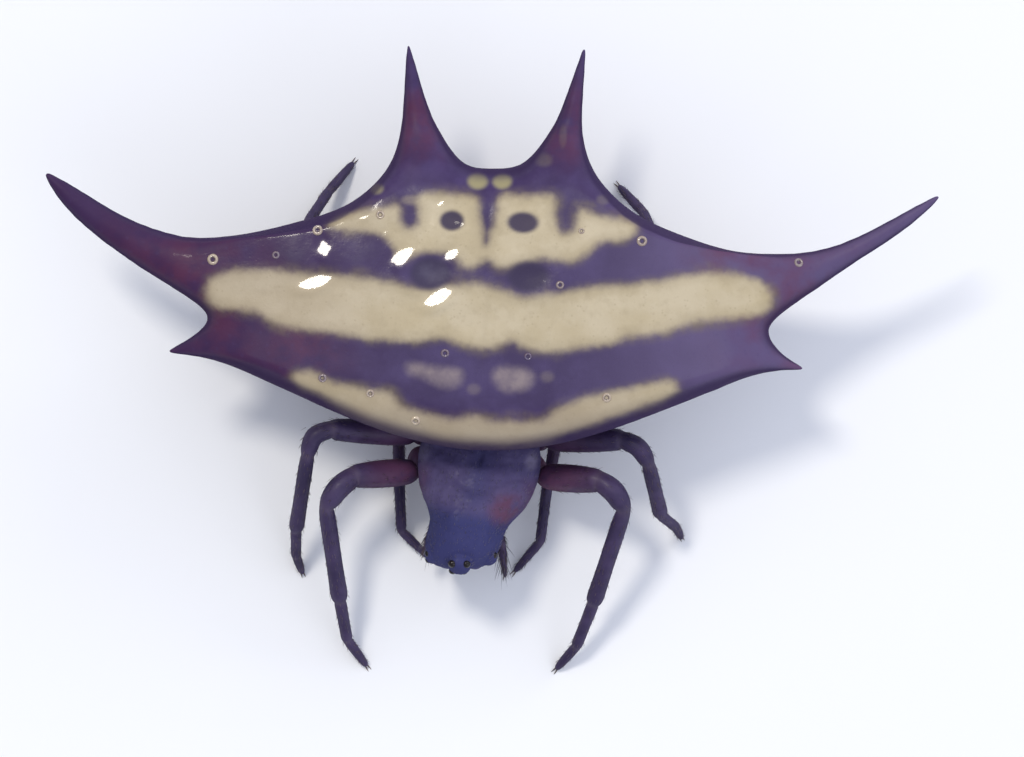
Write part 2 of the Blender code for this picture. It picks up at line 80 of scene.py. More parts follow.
# Each spine: its route and its stations as distance share, half width and half height, from root to tip.
SPINES = {
    1: {
        "lateral": (((6.21, 1.84, 3.2), (8.02, 2.57, 3.4), (9.44, 3.76, 3.75)),
                    ((0.17, 0.42, 0.44), (0.36, 0.25, 0.32), (0.58, 0.21, 0.26), (0.8, 0.15, 0.18),
                     (0.97, 0.05, 0.05))),
        "rear": (((1.44, 4.4, 3.2), (1.67, 5.4, 3.3), (1.86, 6.66, 3.62)),
                 ((0.2, 0.37, 0.42), (0.42, 0.23, 0.29), (0.97, 0.045, 0.045))),
        "front": (((5.88, 0.2, 3.2), (6.2, 0.1, 3.2), (6.64, 0.01, 3.24)),
                  ((0.45, 0.15, 0.22), (0.97, 0.04, 0.04))),
    },
    -1: {
        "lateral": (((-6.21, 1.81, 3.2), (-8.13, 2.36, 3.4), (-9.44, 3.76, 3.75)),
                    ((0.17, 0.54, 0.52), (0.36, 0.42, 0.43), (0.58, 0.34, 0.34), (0.8, 0.26, 0.25),
                     (0.97, 0.06, 0.06))),
        "rear": (((-1.49, 4.4, 3.2), (-1.73, 5.4, 3.3), (-1.85, 6.64, 3.62)),
                 ((0.2, 0.43, 0.46), (0.42, 0.27, 0.32), (0.97, 0.045, 0.045))),
        "front": (((-5.88, 0.22, 3.2), (-6.2, 0.13, 3.2), (-6.74, 0.02, 3.24)),
                  ((0.45, 0.2, 0.25), (0.97, 0.045, 0.045))),
    },
}

# Ivory marks of the back, each a closed outline of places seen from above.
MIDDLE_BAND = (
    (-5.82, 1.58), (-5.09, 1.77), (-3.96, 1.74), (-3.14, 1.70), (-2.36, 1.61), (-1.90, 1.56), (-1.46, 1.47),
    (-0.42, 1.60), (0.15, 1.51), (0.70, 1.36), (1.31, 1.44), (2.06, 1.58), (2.98, 1.67), (3.87, 1.82),
    (4.56, 1.96), (5.23, 1.92), (5.70, 1.78), (5.93, 1.49), (5.71, 1.13), (5.02, 1.01), (4.36, 0.95),
    (3.67, 0.70), (3.00, 0.60), (2.55, 0.44), (1.88, 0.30), (1.19, 0.22), (0.73, 0.33), (0.49, 0.43),
    (0.06, 0.29), (-0.51, 0.30), (-0.97, 0.43), (-1.66, 0.37), (-2.33, 0.38), (-3.03, 0.51), (-3.70, 0.55),
    (-4.35, 0.64), (-4.84, 0.90), (-5.38, 0.95), (-5.76, 0.96), (-5.95, 1.24),
)
FRONT_BAND = (
    (-4.05, -0.40), (-3.67, -0.35), (-3.23, -0.55), (-2.53, -0.70), (-2.03, -0.75), (-1.79, -1.03),
    (-1.39, -1.13), (-0.70, -1.26), (-0.26, -1.16), (0.10, -1.28), (0.54, -1.24), (1.15, -1.23),
    (1.45, -1.03), (1.91, -0.79), (2.39, -0.63), (3.03, -0.51), (3.47, -0.37), (3.85, -0.36), (3.97, -0.54),
    (3.71, -0.78), (3.04, -0.97), (2.36, -1.24), (1.70, -1.51), (1.24, -1.69), (0.30, -1.80), (-0.92, -1.74),
    (-1.69, -1.66), (-2.28, -1.49), (-3.07, -1.11), (-3.43, -0.85), (-3.94, -0.67),
)
REAR_BAND = (
    (-3.36, 2.72), (-3.30, 2.84), (-2.86, 3.04), (-2.17, 3.17), (-1.98, 3.20), (-1.92, 3.10), (-1.92, 2.92),
    (-1.84, 2.77), (-1.71, 2.71), (-1.57, 2.77), (-1.50, 2.92), (-1.50, 3.14), (-1.52, 3.34), (-1.40, 3.47),
    (-0.90, 3.47), (-0.40, 3.43), (-0.29, 3.33), (-0.26, 3.00), (-0.19, 2.66), (-0.10, 2.44), (-0.01, 2.66),
    (0.10, 3.00), (0.13, 3.34), (0.25, 3.45), (0.70, 3.49), (1.20, 3.50), (1.31, 3.40), (1.32, 3.10),
    (1.37, 2.88), (1.46, 2.74), (1.58, 2.70), (1.70, 2.80), (1.77, 3.02), (1.83, 3.18), (1.92, 3.23),
    (2.37, 3.08), (2.92, 2.99), (3.03, 2.84),
    (2.87, 2.65), (2.32, 2.53), (2.04, 2.31), (1.69, 2.12), (1.14, 2.19), (0.60, 2.05), (0.20, 1.97),
    (-0.09, 2.11), (-0.49, 1.95), (-0.81, 2.20), (-1.40, 2.22), (-1.87, 2.11), (-2.07, 2.37), (-2.39, 2.62),
    (-3.00, 2.64),
)
# Two dull bars behind the front band.
LEFT_BAR = ((0.11, -0.28), (0.26, -0.12), (0.52, -0.13), (0.79, -0.15), (0.98, -0.30), (0.92, -0.48),
            (0.69, -0.61), (0.38, -0.62), (0.16, -0.47))
RIGHT_BAR = ((-1.69, -0.12), (-1.42, -0.10), (-1.08, -0.16), (-0.75, -0.17), (-0.54, -0.24), (-0.52, -0.45),
             (-0.75, -0.58), (-1.00, -0.55), (-1.32, -0.41), (-1.63, -0.31))
# Rounded marks: centre, half width, half length and how strongly they show.
IVORY_SPOTS = (
    (-0.28, -0.60, 0.17, 0.14, 0.3), (1.25, -0.30, 0.17, 0.14, 0.3), (-1.70, 3.32, 0.22, 0.12, 0.45),
)
OLIVE_SPOTS = ((-0.31, 3.76, 0.22, 0.18, 1.0), (0.20, 3.77, 0.21, 0.18, 1.0), (-2.42, 3.54, 0.16, 0.13, 0.75),
               (2.32, 3.43, 0.16, 0.13, 0.35), (1.06, 4.24, 0.22, 0.18, 0.3), (1.45, 4.75, 0.1, 0.3, 0.25))

# Pits where muscles hold the shield from inside: centre, half width, half length, depth, rim height
# and darkness.
PITS = (
    (-1.26, 1.79, 0.46, 0.38, 0.055, 0.02, 0.9), (0.79, 1.78, 0.48, 0.35, 0.045, 0.01, 0.9),
    (-0.83, 2.91, 0.28, 0.23, 0.035, 0.008, 0.95), (0.66, 2.91, 0.36, 0.24, 0.035, 0.008, 0.95),
)
# Small raised rings with a dark dimple, over the lesser muscles: centre, radius and how pale the rim is. The
# pale rim is partly the ivory around it and partly a painted glint.
RINGS = (
    (-3.44, -0.45, 0.095, 0.3), (-2.45, -0.74, 0.090, 0.8), (-1.48, -1.28, 0.105, 1.0),
    (2.50, -0.70, 0.105, 0.9), (-0.91, 0.14, 0.095, 0.1), (0.84, 0.12, 0.085, 0.0),
    (-5.81, 1.97, 0.120, 0.9), (-4.49, 2.11, 0.085, 0.2),
    (-3.63, 2.63, 0.110, 0.8), (3.17, 2.58, 0.115, 0.7), (6.47, 2.23, 0.100, 0.4), (-2.32, 2.99, 0.095, 0.9),
    (1.48, 1.61, 0.090, 0.4), (1.88, 2.75, 0.070, 0.8),
)
# A ring's layers from the foot over the rim into the dimple: half width and height, in radii.
RING_PROFILE = (
    (1.15, -0.30), (1.04, -0.04), (0.88, 0.20), (0.68, 0.32), (0.50, 0.22), (0.36, 0.0), (0.2, -0.08),
)
RING_SIDES = 14
# Low swellings of the shield: centre, half width, half length and height.
SWELLINGS = (
    (-2.75, 1.95, 0.32, 0.26, 0.018), (0.20, 2.05, 0.26, 0.20, 0.018), (1.52, 1.90, 0.26, 0.24, 0.018),
    (1.30, 1.25, 0.28, 0.20, 0.015), (0.05, 1.45, 0.26, 0.20, 0.015), (-2.35, 3.00, 0.26, 0.16, 0.020),
    (2.40, 2.85, 0.26, 0.16, 0.020), (4.20, 1.62, 0.36, 0.22, 0.018), (-4.15, 2.15, 0.22, 0.30, 0.020),
)
# Small flat places of the back that catch the light: centre, half length, half width and heading in degrees.
FACETS = (
    (-3.49, 2.26, 0.19, 0.105, 100), (-3.66, 1.55, 0.30, 0.150, 18), (-1.87, 2.11, 0.20, 0.145, 58),
    (-0.82, 2.20, 0.160, 0.130, 20), (-1.08, 1.29, 0.29, 0.165, 34), (-1.08, 3.27, 0.095, 0.055, 5),
    (-0.49, 2.77, 0.060, 0.050, 0), (-2.66, 2.93, 0.100, 0.045, 10), (-2.22, 2.62, 0.070, 0.050, 100),
)
# Painted sheen: greyer places of the dark bands, the first over the big muscle pit: centre, half width, half
# length and strength.
SHEEN_SPOTS = ((-1.20, 1.82, 0.32, 0.24, 1.0), (-4.15, 2.25, 0.32, 0.34, 0.5), (-2.75, 2.20, 0.42, 0.26, 0.35))
# Where the spines' roots and the dark bands glow red: centre and reach.
RED_PLACES = (
    (6.5, 1.2, 2.6), (-6.5, 1.1, 3.0), (1.6, 5.0, 1.3), (-1.6, 5.0, 1.3), (-3.8, 0.1, 1.3), (5.2, 2.3, 1.6),
)
KEY_PLACE = Vector((-240, 320, 690))
CAMERA_PLACE = Vector((0.5145, -0.355, 153.2))

# Pale spots of the belly: centre, half width, half length and how strongly they show.
BELLY_SPOTS = ((2.35, 0.35, 0.42, 0.30, 0.9), (3.55, 1.05, 0.34, 0.26, 0.75), (2.9, 2.25, 0.42, 0.24, 0.8),
               (1.55, 3.15, 0.36, 0.22, 0.7), (4.65, 1.55, 0.26, 0.2, 0.5), (1.25, -0.72, 0.3, 0.16, 0.5))

# The front of the body turns a little to the animal's right about the waist.
# From the neck on, the head looks straight ahead again and stands a little to the side.
WAIST = Vector((0.0, -1.2, 0.0))
TURN = math.radians(-8)
NECK_Y = (-2.1, -2.8)
HEAD_SHIFT = -0.06

# Carapace rings: distance forward of the waist, half width, lowest and highest point.
CARAPACE = (
    (-0.32, 0.42, 1.60, 1.95),
    (-0.10, 0.92, 1.46, 2.12),
    (0.40, 1.28, 1.42, 2.30),
    (0.95, 1.38, 1.40, 2.46),
    (1.50, 1.28, 1.40, 2.70),
    (1.88, 1.11, 1.42, 2.86),
    (2.25, 0.80, 1.46, 2.92),
    (2.68, 0.86, 1.60, 2.88),
    (3.04, 0.75, 1.72, 2.70),
    (3.26, 0.48, 1.86, 2.50),
)
CARAPACE_SIDES = 14
CARAPACE_EDGE_SHARE = 0.34
EYE_BUMPS = ((0.0, -3.09, 2.5, 0.27), (0.55, -2.94, 2.2, 0.22), (-0.55, -2.94, 2.2, 0.22))
# One side's eyes, named by their rows: place and radius.
EYES = {
    "front_middle": (0.12, -3.29, 2.42, 0.085),
    "rear_middle": (0.15, -3.13, 2.69, 0.095),
    "front_side": (0.67, -3.07, 2.14, 0.08),
    "rear_side": (0.70, -2.94, 2.29, 0.08),
}

# Leg joints from the body out: root, trochanter, knee, kneecap middle and end, ankle, heel, tip.
# The roots are in the frame of the turned front body and all other points in the world's.
LEGS = {
    ("leg_1", "left"): (
        (0.50, -1.22, 1.16), (1.20, -2.42, 1.48), (2.42, -2.47, 2.36), (2.79, -2.70, 2.46),
        (2.96, -3.07, 2.36), (2.37, -5.12, 1.12), (2.04, -6.06, 0.50), (1.63, -6.57, 0.02),
    ),
    ("leg_1", "right"): (
        (-0.50, -1.22, 1.16), (-1.50, -2.38, 1.48), (-2.78, -2.51, 2.36), (-3.15, -2.79, 2.46),
        (-3.35, -3.18, 2.36), (-3.03, -5.20, 1.12), (-2.87, -6.04, 0.50), (-2.45, -6.61, 0.02),
    ),
    ("leg_2", "left"): (
        (0.60, -0.72, 1.16), (1.28, -1.64, 1.48), (2.88, -1.59, 2.52), (3.28, -1.73, 2.60),
        (3.45, -2.10, 2.50), (3.76, -3.18, 1.42), (4.11, -3.45, 0.72), (4.24, -3.68, 0.02),
    ),
    ("leg_2", "right"): (
        (-0.60, -0.72, 1.16), (-1.52, -1.60, 1.48), (-3.28, -1.53, 2.40), (-3.70, -1.66, 2.46),
        (-3.77, -2.10, 2.36), (-4.01, -3.72, 1.12), (-4.01, -4.27, 0.55), (-3.88, -4.65, 0.02),
    ),
    ("leg_3", "left"): (
        (0.60, -0.22, 1.14), (1.12, -1.12, 1.02), (1.62, -1.10, 1.04), (1.62, -1.30, 0.99),
        (1.50, -1.58, 0.92), (1.33, -2.62, 0.74), (1.21, -3.84, 0.42), (0.68, -4.50, 0.02),
    ),
    ("leg_3", "right"): (
        (-0.60, -0.22, 1.14), (-1.26, -1.12, 1.02), (-1.92, -1.04, 1.06), (-1.96, -1.24, 1.02),
        (-1.88, -1.54, 0.95), (-1.84, -2.60, 0.74), (-1.77, -3.68, 0.42), (-1.20, -4.22, 0.02),
    ),
    ("leg_4", "left"): (
        (0.50, 0.28, 1.16), (1.04, -0.70, 1.26), (2.70, 0.30, 1.94), (2.95, 0.58, 1.98),
        (3.08, 0.95, 1.90), (3.50, 2.68, 1.18), (3.23, 3.28, 0.58), (2.70, 3.84, 0.02),
    ),
    ("leg_4", "right"): (
        (-0.50, 0.28, 1.16), (-1.06, -0.70, 1.26), (-2.90, 0.35, 1.94), (-3.18, 0.63, 1.98),
        (-3.34, 1.00, 1.90), (-3.92, 2.86, 1.18), (-3.52, 3.54, 0.58), (-3.02, 4.19, 0.02),
    ),
}

# Half thicknesses of each pair's seven lengths: coxa, trochanter, femur, kneecap, tibia, metatarsus, tarsus.
LEG_RADII = {
    "leg_1": (0.26, 0.21, 0.32, 0.25, 0.19, 0.14, 0.115),
    "leg_2": (0.26, 0.2, 0.29, 0.215, 0.17, 0.125, 0.105),
    "leg_3": (0.23, 0.19, 0.20, 0.15, 0.14, 0.125, 0.105),
    "leg_4": (0.25, 0.22, 0.28, 0.18, 0.155, 0.125, 0.115),
}
# The swelling of each length as shares of the way and of its half thickness. The first is the joint's waist.
LEG_SWELL = (
    ((0.0, 0.8), (0.12, 0.96), (0.5, 1.0), (0.85, 0.98)),
    ((0.0, 0.8), (0.25, 1.0), (0.7, 1.0)),
    ((0.0, 0.76), (0.06, 0.86), (0.2, 0.97), (0.45, 1.0), (0.7, 0.97), (0.88, 0.88), (0.97, 0.84)),
    ((0.0, 0.86), (0.1, 1.0), (0.45, 1.06), (0.85, 0.96)),
    ((0.0, 0.78), (0.05, 0.98), (0.28, 1.0), (0.62, 0.96), (0.86, 1.04), (0.96, 1.06)),
    ((0.0, 0.86), (0.06, 1.06), (0.3, 0.97), (0.7, 0.93), (0.95, 1.0)),
    ((0.0, 0.88), (0.1, 1.0), (0.45, 0.95), (0.8, 0.8), (0.97, 0.58)),
)
LEG_SIDES = 10
LEG_BOW = (0.0, 0.0, 0.03, 0.0, 0.03, 0.02, 0.0)
FOOT_LIFT = 0.05
# Where the first legs' trochanters start, just under the shield's front edge.
SHOULDERS = {"left": (1.04, -2.06, 1.46), "right": (-1.46, -1.98, 1.46)}

PALPS = {
    "left": ((0.34, -2.02, 1.06), (0.61, -2.30, 1.14), (0.83, -2.74, 1.14), (1.02, -3.44, 0.92)),
    "right": ((-0.34, -2.02, 1.06), (-0.59, -2.27, 1.14), (-0.72, -2.56, 1.14), (-0.78, -3.04, 0.90)),
}


# Small helpers.

def mix(a, b, share):
    return a + (b - a) * share


def smooth(value, low, high):
    """Rises from 0 at low to 1 at high without corners."""
    share = np.clip((value - low) / (high - low), 0.0, 1.0)
    return share * share * (3 - 2 * share)


def turned(point):
    """A point given in the frame of the front body, placed in the world."""
    x, y, z = point
    head = float(smooth(y, *NECK_Y))
    middle = Matrix.Rotation(TURN, 3, "Z") @ Vector((0.0, y, z))
    across = Matrix.Rotation(TURN * (1 - head), 3, "Z") @ Vector((x, 0.0, 0.0))
    return WAIST + middle + across + Vector((HEAD_SHIFT * head, 0.0, 0.0))


def straightened(points):
    """Points of the world given in the frame of the front body."""
    rel = np.asarray(points) - np.array(WAIST)
    y = rel[:, 1] / math.cos(TURN)
    for _ in range(6):
        head = smooth(y, *NECK_Y)
        turn = TURN * (1 - head)
        x = (rel[:, 0] - HEAD_SHIFT * head + y * math.sin(TURN)) / np.cos(turn)
        y = (rel[:, 1] - x * np.sin(turn)) / math.cos(TURN)
    return np.column_stack((x, y, rel[:, 2]))


def deselect():
    bpy.ops.object.select_all(action="DESELECT")


def take_up(obj):
    deselect()
    obj.select_set(True)
    bpy.context.view_layer.objects.active = obj


def call_it(name):
    obj = bpy.context.object
    obj.name = name
    obj.data.name = name
    return obj


def subdivide_smoothly(obj, levels):
    take_up(obj)
    modifier = obj.modifiers.new("Rounding", "SUBSURF")
    modifier.levels = levels
    modifier.render_levels = levels
    bpy.ops.object.modifier_apply(modifier=modifier.name)


def points_of(obj):
    flat = np.empty(len(obj.data.vertices) * 3)
    obj.data.vertices.foreach_get("co", flat)
    return flat.reshape(-1, 3)


def normals_of(obj):
    flat = np.empty(len(obj.data.vertices) * 3, dtype=np.float32)
    obj.data.vertex_normals.foreach_get("vector", flat)
    return flat.reshape(-1, 3).astype(float)


def put_points(obj, points):
    obj.data.vertices.foreach_set("co", np.ascontiguousarray(points, dtype=float).ravel())
    obj.data.update()


def paint(obj, name, values):
    """Keeps a number for every vertex under a name that the finish reads."""
    layer = obj.data.attributes.get(name) or obj.data.attributes.new(name, "FLOAT", "POINT")
    layer.data.foreach_set("value", np.asarray(values, dtype=np.float32))


def read_marks(obj, name):
    values = np.empty(len(obj.data.vertices), dtype=np.int32)
    obj.data.attributes[name].data.foreach_get("value", values)
    return values


def finish_piece(obj, material, nodes=()):
    """Brings the piece to metres, dresses it and says what it rides on and stands for."""
    obj.data.transform(Matrix.Scale(MM, 4))
    obj.data.materials.clear()
    obj.data.materials.append(material)
    take_up(obj)
    bpy.ops.object.shade_smooth()
    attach(obj, "root")
    if nodes:
        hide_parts(*nodes)
    return obj


def ring_points(centre, normal, side, half_width, half_height, count):
    """An ellipse in the plane square to the normal, its width along the side vector."""
    across = (side - side.dot(normal) * normal).normalized()
    over = normal.cross(across)
    steps = (2 * math.pi * i / count for i in range(count))
    return [centre + across * half_width * math.cos(a) + over * half_height * math.sin(a) for a in steps]


def draw_out(name, rings):
    """A closed skin, extruded from a filled circle on from ring to ring."""
    deselect()
    bpy.ops.mesh.primitive_circle_add(vertices=len(rings[0]), radius=1, fill_type="NGON")
    obj = call_it(name)
    bpy.ops.object.mode_set(mode="EDIT")
    bm = bmesh.from_edit_mesh(obj.data)
    spot = bm.verts.layers.int.new("spot")
    bm.verts.layers.int.new("ring")
    bm.verts.ensure_lookup_table()
    for index, vertex in enumerate(bm.verts):
        vertex[spot] = index
        vertex.co = rings[0][index]
    bpy.ops.mesh.select_all(action="SELECT")
    for number, ring in enumerate(rings[1:], 1):
        bpy.ops.mesh.extrude_region_move()
        bm = bmesh.from_edit_mesh(obj.data)
        spot = bm.verts.layers.int["spot"]
        turn = bm.verts.layers.int["ring"]
        for vertex in bm.verts:
            if vertex.select:
                vertex[turn] = number
                vertex.co = ring[vertex[spot]]
        bmesh.update_edit_mesh(obj.data)
    bpy.ops.mesh.select_all(action="SELECT")
    bpy.ops.mesh.normals_make_consistent(inside=False)
    bpy.ops.object.mode_set(mode="OBJECT")
    return obj


def path_frames(points):
    """A normal and a side vector at each point of a path, carried along without twist."""
    steps = [(b - a).normalized() for a, b in zip(points, points[1:])]
    normals = [steps[0]] + [(a + b).normalized() for a, b in zip(steps, steps[1:])] + [steps[-1]]
    side = steps[0].cross(UP)
    if side.length < 0.1:
        side = Vector((1, 0, 0))
    sides = []
    for normal in normals:
        side = (side - side.dot(normal) * normal).normalized()
        sides.append(side.copy())
    return normals, sides


def limb(name, points, radii, sides=LEG_SIDES, flatten=1.0):
    """A round skin along the points."""
    points = [Vector(point) for point in points]
    normals, side_vectors = path_frames(points)
    rings = [ring_points(p, n, s, r, r * flatten, sides)
             for p, n, s, r in zip(points, normals, side_vectors, radii)]
    return draw_out(name, rings)


def bristles(name, roots, ways, lengths, widths, bend, patches):
    """Many fine hairs as one mesh of three-sided tapering stalks.

    Each has its root sunk in the skin, its way of growing, and the patch of the skin's unwrap it stands on.
    """
    count = len(roots)
    ways = ways / np.linalg.norm(ways, axis=1, keepdims=True)
    helper = np.where(np.abs(ways[:, 2:3]) < 0.9, np.array([[0.0, 0.0, 1.0]]), np.array([[1.0, 0.0, 0.0]]))
    across = np.cross(ways, helper)
    across /= np.linalg.norm(across, axis=1, keepdims=True)
    over = np.cross(ways, across)
    lengths = lengths[:, None]
    widths = widths[:, None]
    rows = []
    for share, girth in ((0.0, 1.0), (0.55, 0.7)):
        centre = roots + ways * lengths * share + bend * lengths * share * share
        for k in range(3):
            angle = 2 * math.pi * k / 3
            rows.append(centre + widths * girth * (across * math.cos(angle) + over * math.sin(angle)))
    rows.append(roots + ways * lengths + bend * lengths)
    vertices = np.stack(rows, axis=1).reshape(-1, 3)
    stalk = [(0, 1, 4, 3), (1, 2, 5, 4), (2, 0, 3, 5), (3, 4, 6), (4, 5, 6), (5, 3, 6), (2, 1, 0)]
    faces = [tuple(7 * i + corner for corner in face) for i in range(count) for face in stalk]
    mesh = bpy.data.meshes.new(name)
    mesh.from_pydata(vertices.tolist(), [], faces)
    obj = bpy.data.objects.new(name, mesh)
    bpy.context.collection.objects.link(obj)
    take_up(obj)
    bpy.ops.object.mode_set(mode="EDIT")
    bpy.ops.mesh.select_all(action="SELECT")
    bpy.ops.mesh.normals_make_consistent(inside=False)
    bpy.ops.object.mode_set(mode="OBJECT")
    corner_vertex = np.empty(len(mesh.loops), dtype=np.int32)
    mesh.loops.foreach_get("vertex_index", corner_vertex)
    hair, corner = corner_vertex // 7, corner_vertex % 7
    corner_place = np.array([(0, 0), (1, 0), (0.5, 1), (0, 0.6), (1, 0.6), (0.5, 1), (0.5, 0.5)]) * 0.003
    layer = mesh.uv_layers.new(name="OFBake")
    layer.data.foreach_set("uv", (patches[hair] + corner_place[corner]).astype(np.float32).ravel())
    return obj


# Finishes.

class Finish:
    """A surface finish: the nodes of one material, joined by short calls."""

    def __init__(self, name, roughness=0.35, coat=0.0, coat_roughness=0.15, specular=0.5):
        self.material = bpy.data.materials.new(name)
        self.material.use_nodes = True
        self.tree = self.material.node_tree
        self.surface = self.tree.nodes["Principled BSDF"]
        self.surface.inputs["Roughness"].default_value = roughness
        self.surface.inputs["Coat Weight"].default_value = coat
        self.surface.inputs["Coat Roughness"].default_value = coat_roughness
        self.surface.inputs["Specular IOR Level"].default_value = specular
        place = self.tree.nodes.new("ShaderNodeTexCoord")
        scale = self.tree.nodes.new("ShaderNodeMapping")
        scale.inputs["Scale"].default_value = (1 / MM, 1 / MM, 1 / MM)
        self.tree.links.new(place.outputs["Object"], scale.inputs["Vector"])
        self.place = scale.outputs["Vector"]

    def put(self, value, socket):
        if isinstance(value, bpy.types.NodeSocket):
            self.tree.links.new(value, socket)
        else:
            socket.default_value = value

    def math(self, operation, a, b=0.0, clamp=False):
        node = self.tree.nodes.new("ShaderNodeMath")
        node.operation = operation
        node.use_clamp = clamp
        self.put(a, node.inputs[0])
        self.put(b, node.inputs[1])
        return node.outputs[0]

    def mark(self, name):
        """The number that the mesh keeps under the name."""
        node = self.tree.nodes.new("ShaderNodeAttribute")
        node.attribute_name = name
        return node.outputs["Fac"]

    def noise(self, per_mm, detail=3.0, roughness=0.55):
        node = self.tree.nodes.new("ShaderNodeTexNoise")
        node.inputs["Scale"].default_value = per_mm
        node.inputs["Detail"].default_value = detail
        node.inputs["Roughness"].default_value = roughness
        self.tree.links.new(self.place, node.inputs["Vector"])
        return node.outputs["Fac"]

    def cells(self, per_mm, smoothness=None):
        node = self.tree.nodes.new("ShaderNodeTexVoronoi")
        node.inputs["Scale"].default_value = per_mm
        if smoothness is not None:
            node.feature = "SMOOTH_F1"
            node.inputs["Smoothness"].default_value = smoothness
        self.tree.links.new(self.place, node.inputs["Vector"])
        return node.outputs["Distance"]

    def rise(self, value, low, high, bottom=0.0, top=1.0):
        """From bottom at low to top at high, without corners."""
        node = self.tree.nodes.new("ShaderNodeMapRange")
        node.interpolation_type = "SMOOTHSTEP"
        node.inputs["From Min"].default_value = low
        node.inputs["From Max"].default_value = high
        node.inputs["To Min"].default_value = bottom
        node.inputs["To Max"].default_value = top
        self.put(value, node.inputs["Value"])
        return node.outputs["Result"]

    def blend(self, share, a, b):
        node = self.tree.nodes.new("ShaderNodeMix")
        node.data_type = "RGBA"
        self.put(share, node.inputs[0])
        self.put(a if isinstance(a, bpy.types.NodeSocket) else (*a, 1.0), node.inputs[6])
        self.put(b if isinstance(b, bpy.types.NodeSocket) else (*b, 1.0), node.inputs[7])
        return node.outputs[2]

    def bump(self, height, depth_mm, below=None):
        node = self.tree.nodes.new("ShaderNodeBump")
        node.inputs["Strength"].default_value = 1.0
        node.inputs["Distance"].default_value = depth_mm * MM
        self.put(height, node.inputs["Height"])
        if below:
            self.tree.links.new(below, node.inputs["Normal"])
        return node.outputs["Normal"]

    def colour(self, value):
        self.put(value, self.surface.inputs["Base Color"])

    def roughness(self, value):
        self.put(value, self.surface.inputs["Roughness"])

    def slant(self, low, high, bottom, top):
        """From bottom on faces turned to the eye to top on faces seen edge on."""
        node = self.tree.nodes.new("ShaderNodeLayerWeight")
        node.inputs["Blend"].default_value = 0.5
        return self.rise(node.outputs["Facing"], low, high, bottom, top)

    def relief(self, normal, coat=None):
        self.put(normal, self.surface.inputs["Normal"])
        self.put(coat or normal, self.surface.inputs["Coat Normal"])


DARK = (0.042, 0.024, 0.082)
DARK_LIGHTER = (0.064, 0.042, 0.124)
RED_GLOW = (0.115, 0.026, 0.055)
IVORY = (0.465, 0.385, 0.245)
IVORY_PALE = (0.530, 0.450, 0.310)
IVORY_DULL = (0.330, 0.265, 0.165)
IVORY_SHADED = (0.300, 0.240, 0.185)
FRINGE = (0.165, 0.128, 0.085)
OLIVE = (0.345, 0.305, 0.160)
BAR_TINT = (0.270, 0.215, 0.215)
SHEEN_GREY = (0.082, 0.070, 0.118)
RIM_PAINTED_SHADE = (0.034, 0.019, 0.066)
DARK_LEFT_SKY_SHEEN = (0.114, 0.083, 0.178)
DARK_RIGHT_SHADE = (0.040, 0.015, 0.058)
NAVY = (0.040, 0.029, 0.068)
PLUM = (0.067, 0.053, 0.138)
PLUM_LIGHTER = (0.096, 0.079, 0.180)
PLUM_SPECK = (0.095, 0.080, 0.165)
HEAD_NAVY_SKY_REFLECTION = (0.029, 0.034, 0.126)
MEDIAN_BLUE = (0.042, 0.042, 0.128)
CHEEK_BACKLIT_RED = (0.112, 0.042, 0.080)
HIGHLIGHT_LILAC = (0.240, 0.210, 0.320)
LEG_DARK = (0.028, 0.018, 0.060)
LEG_LIGHTER = (0.050, 0.033, 0.092)
FEMUR_RED = (0.105, 0.036, 0.082)
JOINT_PALE = (0.150, 0.115, 0.150)


